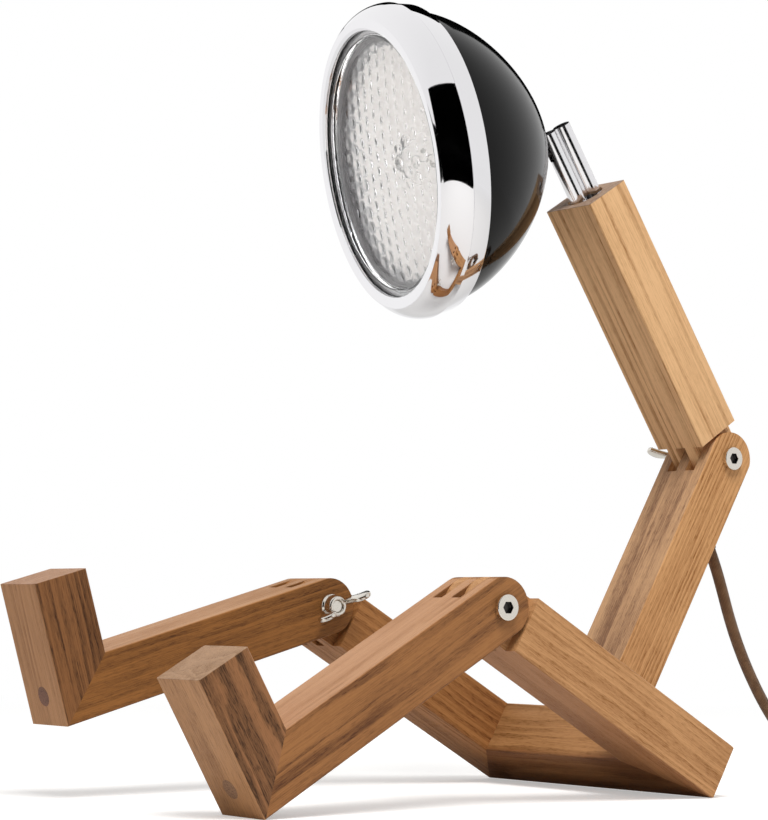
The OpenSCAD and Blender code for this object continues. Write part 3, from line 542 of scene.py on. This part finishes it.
# Node, frame, grain, pith, ring, light, dark, band, pores, wave, seed, and what is its own
TIMBERS = [
    ("upper_torso", UPPER, "Z", (190, 30), 6.3, "e4b786", "986534", 0.5, 0.36, 0.25, 1.3,
     {"late": 0.5, "end": ("a18772", "84695a"), "end_from": TORSO - END_DEPTH}),
    ("lower_torso", SEAT, "Z", (12, -150), 2.6, "d4a06c", "8c5828", 0.4, 0.5, 0.5, 4.1,
     {"heartwood_and_painted_light": ("c49a72", "7d5a42"), "tint_shade": 1.5}),
    # The left thigh's underside is painted darker: painted shade.
    ("left_thigh", LEFT_THIGH, "Y", (20, 110), 4.4, "c79565", "87562a", 0.3, 0.45, 1.3, 2.2,
     {"heartwood_and_painted_light": ("b07d52", "855433"), **PAINTED_SHADE_UNDERSIDE}),
    ("right_thigh", RIGHT_THIGH, "Y", (-40, 60), 3.6, "b07a48", "744522", 0.35, 0.5, 1.0, 6.4, {}),
    # The crossbar's lower part is painted darker: painted shade.
    ("crossbar", SEAT, "X", (20, 70), 4.6, "b38253", "7a4f28", 0.4, 0.5, 1.3, 7.7,
     {"heartwood_and_painted_light": ("80502a", "5a3518"), "tint_span": (-4, 0.5), **PAINTED_SHADE_UNDERSIDE}),
    # The shins' top faces take a lighter colour pair: painted light from above.
    ("left_shin", LEFT_LEG, "Y", (10, -190), 8.5, "a06d40", "583520", 0.5, 0.42, 1.1, 3.6,
     {"heartwood_and_painted_light": ("bd8e68", "8c5f3d"), "tint_shade": 0.7}),
    ("right_shin", RIGHT_LEG, "Y", (-10, -170), 7.5, "976434", "50301a", 0.36, 0.45, 1.0, 8.3,
     {"heartwood_and_painted_light": ("b78961", "8a5d3a"), "tint_shade": 0.7}),
    ("left_foot", LEFT_LEG, "Z", (0, 190), 8.0, "bd8b5e", "80583a", 0.25, 0.6, 2.0, 9.1,
     {"heartwood_and_painted_light": ("946541", "3e2614"), "tint_shade": 0.95, "tint_band": 0.45,
      "end": ("a88464", "866548"), **FOOT_SIDE}),
    ("right_foot", RIGHT_LEG, "Z", (20, 150), 5.0, "ba875b", "855a38", 0.3, 0.35, 0.8, 5.2,
     {"heartwood_and_painted_light": ("875a36", "321c0f"), "tint_shade": 1.4, "end": ("ac8160", "8a6245"), **FOOT_SIDE})]
PLUGS = [("left_sole_plug", "left_plug_wood", "9c7556", "7b5a44"),
         ("right_sole_plug", "right_plug_wood", "805642", "5f3f30"),
         ("seat_dowels", "dowel_wood_end", "c79a6c", "9a6b42")]


def dress_timbers():
    for node, *wood, own in TIMBERS:
        paint(ash("ash_" + node, *wood, **own), node)
    for node, *wood in PLUGS:
        paint(end_grain_plug(*wood), node)


dress_timbers()


# ---- Head ----

SHELL_R, SHELL_DEPTH, SHELL_WALL = 74.0, 66.0, 1.0
ROUNDNESS, START, SKIRT = 1.6, 9.5, 7.0
BORDER = START + SHELL_DEPTH

BEZEL_WALL = 1.2
BELLY_R, BELLY_Z = 79.25, BORDER + 10.4
CREASE_R, CREASE_Z = 72.7, BORDER + 24.1
GASKET_R, GASKET_Z = (66.9, 70.4), (96.95, 97.85)

LENS_R, LENS_FRONT, LENS_BACK, LENS_DOME = 62.0, 92.8, 89.8, 2.4
PILLOW_W, PILLOW_H, PILLOW_POWER = 9.2, 7.2, 1.6
PILLOW_FRONT, PILLOW_BACK = 0.15, 0.3

FOCUS, FOOT_Z, HOLE_R, BRIM_R, FLANGE_R = 22.0, 46.0, 16.0, 66.0, 70.2
BULB_R, BULB_CROWN, BULB_Z = 13, 12, 74


def bowl(radius, depth, start, steps=40):
    """Half section of the shell's rounded back."""
    points = []
    for i in range(steps + 1):
        r = radius * sin(pi / 2 * i / steps)
        rise = depth * (1 - max(0.0, 1 - (r / radius) ** ROUNDNESS) ** (1 / ROUNDNESS))
        points.append((r, start + rise))
    return points


def make_shell():
    outside = bowl(SHELL_R, SHELL_DEPTH, START)
    inner_r = SHELL_R - SHELL_WALL
    inside = bowl(inner_r, SHELL_DEPTH - SHELL_WALL, START + SHELL_WALL)
    outline = outside + [(SHELL_R, BORDER + SKIRT), (inner_r, BORDER + SKIRT)] + inside[::-1]
    fit(spun("enamelled_shell", outline, SHELL, 160, closed=False), "head", "shell_black", ENAMEL,
        "head_shell")


def from_border(points):
    return [(r, BORDER + z) for r, z in points]


def bezel_outline():
    """Half section: rear lip, a groove, the band that bends in to the crease, the face, the inside."""
    lean = atan2(BELLY_R - CREASE_R, CREASE_Z - BELLY_Z)
    reach = sqrt((BELLY_R - CREASE_R) ** 2 + (CREASE_Z - BELLY_Z) ** 2)
    bend = reach / (2 * sin(lean))

    def arc(inset, steps, count):
        return [(BELLY_R - inset - (bend - inset) * (1 - cos(2 * lean * k / steps)),
                 BELLY_Z + (bend - inset) * sin(2 * lean * k / steps)) for k in range(count)]

    rear = from_border([(74.15, 1.2), (74.35, 0.35), (74.9, 0), (76.5, 0), (77.0, 0.15), (77.25, 0.6),
                        (78.6, 9.7), (78.2, 10.0), (78.25, 10.2), (79.05, 10.3)])
    ring = from_border([(72.45, 24.35), (72.1, 24.4), (67.1, 23.85), (66.75, 23.7), (66.6, 23.35),
                        (66.6, 22.4), (70.6, 22.4), (71.6, 22.2)])
    return rear + arc(0, 14, 15) + ring + arc(BEZEL_WALL, 8, 8)[::-1] + from_border([(76.0, 1.2)])


def make_bezel():
    piece = spun("chrome_bezel", bezel_outline(), SHELL, 200, smooth=28)
    fit(piece, "head", "chrome", CHROME, "bezel")


def make_gasket():
    (hole, rim), (rear, front) = GASKET_R, GASKET_Z
    outline = rounded([(hole, rear), (rim, rear), (rim, front), (hole, front)], 0.3)
    fit(spun("lens_seal", outline, SHELL, 120), "head", "gasket_rubber", RUBBER, "lens_gasket")


def pillow(x, y):
    """Height of one of the lens's pillows, from 0 in the grooves to 1 on its crown."""
    column = x / PILLOW_W
    a = abs(column % 1 - 0.5) * 2
    b = abs((y / PILLOW_H + 0.5 * (int(column // 1) % 2)) % 1 - 0.5) * 2
    fade = min(1.0, max(0.0, (LENS_R - 1.0 - sqrt(x * x + y * y)) / 2.0))
    return (1 - a * a) ** PILLOW_POWER * (1 - b * b) ** PILLOW_POWER * fade


def lens_face(level, steps):
    """Half section of one of the lens's domed faces, from its middle outward."""
    return [(LENS_R * i / steps, level + LENS_DOME * (1 - (i / steps) ** 2)) for i in range(steps + 1)]


def make_lens():
    wall = [(62.25, 93.0), (62.6, 94.0), (63.1, 96.3), (63.35, 96.75), (63.8, 96.9), (70.3, 96.9),
            (70.3, 93.45), (65.0, 93.45), (64.4, 93.2), (63.4, 90.2), (62.8, 89.8)]
    bm = bmesh.new()
    spin_outline(bm, lens_face(LENS_FRONT, 20) + wall + lens_face(LENS_BACK, 76)[::-1], 360, closed=False)
    for v in bm.verts:
        r = sqrt(v.co.x ** 2 + v.co.y ** 2)
        if r <= LENS_R + 0.01:
            middle = (LENS_FRONT + LENS_BACK) / 2 + LENS_DOME * (1 - (r / LENS_R) ** 2)
            if v.co.z < middle:
                v.co.z -= PILLOW_BACK * pillow(v.co.x, v.co.y)
            else:
                v.co.z += PILLOW_FRONT * pillow(v.co.x, v.co.y)
    fit(keep("pressed_lens", bm, SHELL, 50), "head", "lens_glass", GLASS, "lens")


def parabola(r):
    return FOOT_Z + (r * r - HOLE_R * HOLE_R) / (4 * FOCUS)


def make_reflector():
    radii = [HOLE_R + (BRIM_R - HOLE_R) * i / 40 for i in range(41)]
    brim = parabola(BRIM_R)
    outline = [(r, parabola(r)) for r in radii] + [(FLANGE_R, brim), (FLANGE_R, brim + 0.7)]
    outline += [(r - 0.2, parabola(r) + 0.8) for r in radii[::-1]]
    fit(spun("spun_reflector", outline, SHELL, 160), "head", "reflector_aluminium", REFLECTOR,
        "reflector")


def rod(bm, radius, length, sides, centre, across=False):
    """Straight wire along Z, or across it along X."""
    made = bmesh.ops.create_cone(bm, cap_ends=True, segments=sides, radius1=radius, radius2=radius,
                                 depth=length)
    if across:
        bmesh.ops.rotate(bm, verts=made["verts"], cent=(0, 0, 0), matrix=Matrix.Rotation(pi / 2, 3, "Y"))
    bmesh.ops.translate(bm, verts=made["verts"], vec=centre)


def make_bulb():
    """Glass with its neck, and inside it the stem, two posts and the wire between them."""
    bm = bmesh.new()
    glass = [(0, 28), (6.6, 28), (6.8, 29), (6.8, 47), (7.2, 50), (9.5, 53.5), (12.0, 58),
             (BULB_R, 64), (12.9, 72)]
    glass += [(BULB_R * cos(radians(a)), BULB_Z + BULB_CROWN * sin(radians(a))) for a in range(0, 91, 9)]
    spin_outline(bm, glass, 48, closed=False)
    fit(keep("lamp_bulb", bm, SHELL, 40), "head", "bulb_glass", BULB_GLASS, "bulb")
    bm = bmesh.new()
    stem = rounded([(0, 50), (4, 50), (5, 52), (2.2, 62), (2.2, 66), (0, 67)], 0.6)
    spin_outline(bm, stem, 24, closed=False)
    for side in (-1, 1):
        rod(bm, 0.5, 16, 10, (side * 3.5, 0, 66))
    rod(bm, 0.9, 8, 12, (0, 0, 73.5), across=True)
    fit(keep("bulb_filament", bm, SHELL, 40), "head", "zinc_steel", STEEL)


make_shell()
make_bezel()
make_gasket()
make_lens()
make_reflector()
make_bulb()
paint(HOLDER, "lamp_holder")
paint(STEEL, "holder_screws", "rim_clips", "tilt_nut", "neck_circlip", "left_foot_screw",
      "right_foot_screw")
paint(DARK_STEEL, "tilt_ball_stud", "tilt_clamp_screw")
paint(BRASS, "neck_bush")


# ---- Neck ----

fit(dressed("neck_post", "chrome_neck", 0.35, 3, 50), "neck", "chrome", SATIN_CHROME, "neck_post")


# ---- Bolts and wing nuts ----

SOCKET_R, SOCKET_DEPTH = 3.0, 0.5
WING_T, WING_EDGE = 2.5, 0.9
WAIST_WINGS, LEFT_WINGS, RIGHT_WINGS = 6, 0, 10
MIRROR = Matrix.Scale(-1, 4, (1, 0, 0))


def make_bolts():
    """Bolts with their heads outside, and painted shade, a dark grey, in the heads' sockets."""
    for node, name, body, hinge_at, side in (
            ("waist_bolt", "waist_joint_bolt", "seat", WAIST, 1),
            ("left_knee_bolt", "left_joint_bolt", "left_leg", LEFT_LEG, 1),
            ("right_knee_bolt", "right_joint_bolt", "right_leg", RIGHT_LEG, -1)):
        piece = fit(dressed(node, name, 0.35, 3, 40), body, "zinc_steel", NICKEL, node)
        # The sockets' faces take the second colour: painted shade in the recess.
        piece.data.materials.append(SOCKET_SHADE)
        hinge = (hinge_at @ Matrix.Scale(side, 4, (1, 0, 0))).inverted() @ MM.inverted()
        for face in piece.data.polygons:
            at = [hinge @ piece.data.vertices[v].co for v in face.vertices]
            inside = max(sqrt(v.y ** 2 + v.z ** 2) for v in at) < SOCKET_R
            if inside and min(v.x for v in at) > BEAM_W / 2 - SOCKET_DEPTH:
                face.material_index = 1


def wing_nut(name, hinge, wings):
    """Pressed wing nut: a tapered hub and two rounded wings that lean out from it.

    wings is how far they are turned past upright."""
    bm = bmesh.new()
    hub = rounded([(3.05, 0.05), (6.5, 0.05, 0.5), (6.3, 1.6, 0.6), (5.4, 2.6, 1.0), (4.95, 7.0, 0.8),
                   (3.3, 7.0, 0.3), (3.05, 6.4, 0.1)], 0.3)
    spin_outline(bm, hub, 48)
    for side in (1, -1):
        outline = [(4.4, 2.2), (6.2, 2.0), (9.0, 4.6), (13.0, 8.6), (15.6, 10.6)]
        outline += [(11.5 + 5.0 * cos(radians(a)), 12.0 + 5.0 * sin(radians(a)))
                    for a in range(-10, 171, 15)]
        outline += [(6.0, 8.6), (4.4, 6.4)]
        dots = [bm.verts.new((side * x, -WING_T / 2, z)) for x, z in outline]
        face = bm.faces.new(dots)
        grown = bmesh.ops.extrude_face_region(bm, geom=[face])
        moved = [v for v in grown["geom"] if isinstance(v, bmesh.types.BMVert)]
        bmesh.ops.translate(bm, verts=moved, vec=(0, WING_T, 0))
        part = set(dots) | set(moved)
        rims = [e for e in bm.edges if e.verts[0] in part and e.verts[1] in part
                and abs(e.verts[0].co.y - e.verts[1].co.y) < 0.01]
        bmesh.ops.bevel(bm, geom=rims, offset=WING_EDGE, offset_type="OFFSET", segments=3, profile=0.5,
                        affect="EDGES", material=-1, clamp_overlap=True)
    bmesh.ops.recalc_face_normals(bm, faces=bm.faces)
    seat = hinge @ shift(-BEAM_W / 2, 0, 0) @ turn("X", 90 + wings) @ turn("Y", -90)
    return keep(name, bm, seat, 50)


def make_wing_nuts():
    for side, body, hinge, wings in (("left", "left_nut", LEFT_LEG, LEFT_WINGS),
                                     ("waist", "waist_nut", WAIST, WAIST_WINGS),
                                     ("right", "right_nut", RIGHT_LEG @ MIRROR, RIGHT_WINGS)):
        piece = wing_nut(side + "_wings", hinge, wings)
        if side == "right":
            piece.data.flip_normals()
        fit(piece, body, "zinc_steel", NICKEL, side + "_wing_nut")


make_bolts()
make_wing_nuts()


# ---- Cord ----

CORD_ROUTE = [
    (0, 94.4, 114.1), (0, 99.3, 103), (0, 103.3, 92.5), (0, 107.8, 80), (0, 112.8, 68),
    (0, 118.8, 56), (0, 125.3, 45), (0, 132, 35), (0, 139, 26), (0, 146.5, 17.8),
    (0, 154.7, 10.6), (0, 163.8, 4.6), (0, 174, 0), (0, 185, -3.2), (0, 197, -5),
    (0, 209, -5.6), (0, 221.5, -5.6), (0, 234, -5.6)]
SWITCH_ROUTE = [
    (75.5, 234, 13), (75.6, 224, 12.6), (76, 212, 10.9), (76.4, 200, 7.6), (76.8, 188, 3.6),
    (77, 178, 0.2), (77, 170, -1.4), (77, 164, -1.4)]
PLUG_ROUTE = [
    (77, 110, -1.4), (77, 104, -1.4), (77, 96, -3.2), (77, 88, -5.2), (77.8, 79.8, -5.6),
    (80.2, 74, -5.6), (84, 69, -5.6), (89, 65.2, -5.6), (94.8, 62.8, -5.6), (101, 62, -5.6),
    (107.2, 62.8, -5.6), (113, 65.2, -5.6), (118, 69, -5.6), (121.8, 74, -5.6),
    (124.2, 79.8, -5.6), (125, 88, -5.4), (125, 96, -3.9), (125, 104, -2), (125, 112, -1.4),
    (125, 118, -1.4)]
THROUGH_SWITCH = [(77, 146, -1.4), (77, 128, -1.4)]
PATH_STEP = 2.5

COIL_X, COIL_Y, COIL_Z, COIL_R = 38.5, 234.0, -5.6, 38.5
COIL_TURNS, COIL_PITCH = 6.5, 6.2
CLIMBS, CLIMB_LEN = (1.5, 3.125, 4.75), 0.25


def coil_turns():
    """Turns in four layers, one pitch apart, that spiral in and out by turns.

    The cord climbs to the next layer from each of the turns in CLIMBS."""
    points = []
    steps = 24
    first, second, third = (start + CLIMB_LEN for start in CLIMBS)
    for i in range(1, int(COIL_TURNS * steps)):
        t = i / steps
        r = COIL_R - COIL_PITCH * min(t, first)
        r += COIL_PITCH * min(max(t - first, 0), second - first)
        r -= COIL_PITCH * min(max(t - second, 0), third - second)
        r += COIL_PITCH * max(t - third, 0)
        z = COIL_Z
        for start in CLIMBS:
            s = min(max((t - start) / CLIMB_LEN, 0), 1)
            z += COIL_PITCH * s * s * (3 - 2 * s)
        angle = pi - 2 * pi * t
        points.append((COIL_X + r * cos(angle), COIL_Y + r * sin(angle), z))
    return points


def smooth_path(points, step):
    """Points a step apart along a smooth curve through the given ones."""
    dots = [Vector(p) for p in points]
    dense = []
    for i in range(len(dots) - 1):
        a, b = dots[i], dots[i + 1]
        before = dots[i - 1] if i else a * 2 - b
        after = dots[i + 2] if i + 2 < len(dots) else b * 2 - a
        count = max(2, int((b - a).length / 0.5))
        for k in range(count):
            t = k / count
            dense.append(0.5 * ((2 * a) + (b - before) * t + (2 * before - 5 * a + 4 * b - after) * t * t
                                + (3 * a - before - 3 * b + after) * t ** 3))
    dense.append(dots[-1])
    out, travelled, target = [dense[0]], 0.0, step
    for a, b in zip(dense, dense[1:]):
        travelled += (b - a).length
        if travelled >= target:
            out.append(b)
            target += step
    if (out[-1] - dense[-1]).length > 0.2:
        out.append(dense[-1])
    else:
        out[-1] = dense[-1]
    return out


def tube(name, path, radius, sides=14):
    """Tube along a path, with round and along in its UV map, in turns and millimetres."""
    bm = bmesh.new()
    uv = bm.loops.layers.uv.new("UVMap")
    heading = (path[1] - path[0]).normalized()
    across = heading.orthogonal().normalized()
    rings, run = [], [0.0]
    for i, p in enumerate(path):
        ahead = (path[min(i + 1, len(path) - 1)] - path[max(i - 1, 0)]).normalized()
        across = (across - ahead * across.dot(ahead)).normalized()
        third = ahead.cross(across)
        rings.append([bm.verts.new(p + radius * (across * cos(2 * pi * k / sides)
                                                 + third * sin(2 * pi * k / sides)))
                      for k in range(sides)])
        if i:
            run.append(run[-1] + (p - path[i - 1]).length)
    for i in range(len(path) - 1):
        for k in range(sides):
            n = (k + 1) % sides
            face = bm.faces.new((rings[i][k], rings[i][n], rings[i + 1][n], rings[i + 1][k]))
            for loop, (u, v) in zip(face.loops, ((k, i), (k + 1, i), (k + 1, i + 1), (k, i + 1))):
                loop[uv].uv = (u / sides, run[v])
    bm.faces.new(rings[0][::-1])
    bm.faces.new(rings[-1])
    bm.transform(MM)
    return keep(name, bm, None, 60), run[-1]


def make_cord():
    points = CORD_ROUTE + coil_turns() + SWITCH_ROUTE + THROUGH_SWITCH + PLUG_ROUTE
    path = smooth_path(points, PATH_STEP)
    piece, length = tube("textile_cord", path, CORD_D / 2)
    fit(piece, "seat", "cord_textile", TEXTILE, "cord_tube", "cord_coil", "switch_lead", "plug_lead")
    return piece, [p * METRE for p in path], length * METRE


def make_relief():
    """Tapered sleeve with flexing grooves, where the cord leaves the torso."""
    bore, tip = 3.05, 13.0
    grooves, pitch = 4, 2.4
    rib_taper, groove_taper = 0.27, 0.12
    outline = [(bore, -12), (4.7, -12), (4.7, 0.2), (4.95, 0.5), (4.95, 1.6), (4.6, 2.0)]
    for k in range(grooves):
        z = 3.2 + pitch * k
        floor_r = 3.75 - groove_taper * k
        outline += [(4.55 - rib_taper * k, z), (floor_r, z + 0.3), (floor_r, z + 0.9),
                    (4.4 - rib_taper * k, z + 1.2)]
    outline += [(3.55, tip - 0.3), (3.4, tip), (bore, tip)]
    fit(spun("cord_sleeve", rounded(outline, 0.25, 2), RELIEF, 40), "seat", "relief_plastic",
        BROWN_PLASTIC, "strain_relief")


# Node, piece, edge, steps, limit, body, slot, finish
FITTINGS = [("switch_housing", "inline_switch", 2.0, 4, 60, "seat", "switch_plastic", BROWN_PLASTIC),
            ("switch_rocker", "inline_rocker", 0.5, 3, 60, "rocker", "rocker_plastic", ROCKER),
            ("plug_body", "plug", 0.9, 3, 40, "seat", "switch_plastic", BROWN_PLASTIC),
            ("plug_pins", "plug_prongs", 0.7, 3, 50, "seat", "pin_brass", BRASS),
            ("cord_tie", "coil_band", 0.4, 2, 50, "seat", "tie_plastic", TIE)]


def make_cord_fittings():
    return [fit(dressed(node, name, edge, steps, limit), body, slot, finish, node)
            for node, name, edge, steps, limit, body, slot, finish in FITTINGS]


cord_piece, cord_path, cord_length = make_cord()
make_relief()
make_cord_fittings()
paint(BROWN_PLASTIC, "torso_lead")


# ---- Floor, background and light ----

ROOM_LIGHT = 0.42
THROUGH_GLASS = 1.6
FLOOR_GLOW, FLOOR_GLOSS = 0.40, 0.86
FLOOR_SIZE, FLOOR_GAP = 4, 0.00005
FADE_FROM, FADE_TO = 0.45, 1.3

# Centre of the head in metres, and the screens about it: angles from -Y toward +X, then the low and
# the high angle at both ends, with how much is added midway
HEAD_AT = (0.05, -0.115, 0.30)
SCREEN_REACH = 1.6
SCREENS = [("dark_room", (5, 106), (-26.7, -25, -2.6), (23.5, 46, 7)),
           ("dark_corner", (213, 245), (9, 9, 0), (46, 38, 0))]

KEY_AT, KEY_AIM, KEY_SIZE, KEY_POWER = (0.78, -0.45, 1.72), (0, 0, 0.15), 0.9, 32


def seen_or_lit(f, seen, gloss, lit):
    """A strength for the eye, one for gloss, a brighter one through glass, and one for the light given.

    A ray that glass has bent counts as gloss too."""
    path = f.node("ShaderNodeLightPath")
    total = lit
    for ray, more in (("Is Camera Ray", seen - lit), ("Is Glossy Ray", gloss - lit),
                      ("Is Transmission Ray", THROUGH_GLASS * seen - gloss)):
        total = f.sum("ADD", total, f.sum("MULTIPLY", path.outputs[ray], more))
    return total


def make_world():
    """White all round, and for gloss a little darker from one side of the room to the other."""
    world = bpy.data.worlds.new("studio")
    world.use_nodes = True
    bpy.context.scene.world = world
    sky = world.node_tree.nodes["Background"]
    f = Nodes(world.node_tree)
    f.link(seen_or_lit(f, 1.0, 1.0, ROOM_LIGHT), sky.inputs["Strength"])
    way = f.node("ShaderNodeSeparateXYZ")
    f.link(f.node("ShaderNodeTexCoord").outputs["Generated"], way.inputs[0])
    grade = f.range(way.outputs["X"], -0.95, 0.3, 0.98, 0.87, False)
    gloss = f.node("ShaderNodeLightPath").outputs["Is Glossy Ray"]
    f.link(f.blend(gloss, WHITE, grade), sky.inputs["Color"])


def make_floor():
    """White paper that takes shadows near the lamp and fades to plain white light farther out."""
    bm = bmesh.new()
    bmesh.ops.create_grid(bm, x_segments=4, y_segments=4, size=FLOOR_SIZE)
    bmesh.ops.translate(bm, verts=bm.verts, vec=(0, 0, FLOOR * METRE - FLOOR_GAP))
    floor = keep("studio_floor", bm, smooth=0)
    f = Finish("floor_paper", "e8e7e5", 0.9, 0.0, 0.1)
    f.set("Emission Color", WHITE)
    f.link(seen_or_lit(f, FLOOR_GLOW, 0.0, 0.0), f.shader.inputs["Emission Strength"])
    where = f.node("ShaderNodeTexCoord").outputs["Object"]
    reach = f.move("LENGTH", f.move("MULTIPLY", where, (1, 1, 0)))
    glow = f.node("ShaderNodeEmission")
    glow.inputs["Color"].default_value = WHITE
    f.link(seen_or_lit(f, 1.0, FLOOR_GLOSS, ROOM_LIGHT), glow.inputs["Strength"])
    f.give_way(f.range(reach, FADE_FROM, FADE_TO), glow)
    floor.data.materials.append(f.material)


def dark_screen(name, sweep, lows, highs):
    """Curved black screen about the head that only shows in gloss, with a skirt on the floor below it."""
    bm = bmesh.new()
    steps = 24
    x, y, z = HEAD_AT
    floor_z = FLOOR * METRE + 0.0005
    rows = []
    for i in range(steps + 1):
        at = i / steps
        angle = radians(sweep[0] + (sweep[1] - sweep[0]) * at)
        low, high = (radians(first + (last - first) * at + midway * 4 * at * (1 - at))
                     for first, last, midway in (lows, highs))
        foot_r = min(SCREEN_REACH, (z - floor_z) / tan(-low)) if low < 0 else SCREEN_REACH
        foot_z = floor_z if low < 0 else z + SCREEN_REACH * tan(low)
        dots = ((foot_r, foot_z), (SCREEN_REACH, max(foot_z, floor_z)),
                (SCREEN_REACH, z + SCREEN_REACH * tan(high)))
        rows.append([bm.verts.new((x + r * sin(angle), y - r * cos(angle), up)) for r, up in dots])
    for a, b in zip(rows, rows[1:]):
        for k in range(2):
            bm.faces.new((a[k], b[k], b[k + 1], a[k + 1]))
    bmesh.ops.remove_doubles(bm, verts=bm.verts, dist=1e-5)
    cover(keep(name, bm, smooth=0))


def cover(screen):
    """Black cloth, seen only in gloss, and clear to rays that come through glass."""
    f = Finish("black_cloth", "000000", 1.0, 0.0, 0.0)
    through = f.node("ShaderNodeLightPath").outputs["Is Transmission Ray"]
    f.give_way(through, f.node("ShaderNodeBsdfTransparent"))
    screen.data.materials.append(f.material)
    screen.visible_camera = False
    screen.visible_diffuse = False
    screen.visible_shadow = False
    screen.visible_volume_scatter = False


def make_key_light():
    data = bpy.data.lights.new("key_light", "AREA")
    data.shape = "SQUARE"
    data.size = KEY_SIZE
    data.energy = KEY_POWER
    light = bpy.data.objects.new("key_light", data)
    light.location = KEY_AT
    light.rotation_euler = (Vector(KEY_AIM) - Vector(KEY_AT)).to_track_quat("-Z", "Y").to_euler()
    light.visible_glossy = False
    light.visible_camera = False
    bpy.context.scene.collection.objects.link(light)


make_world()
make_floor()
for screen in SCREENS:
    dark_screen(*screen)
make_key_light()
bpy.context.scene.view_settings.view_transform = "Standard"
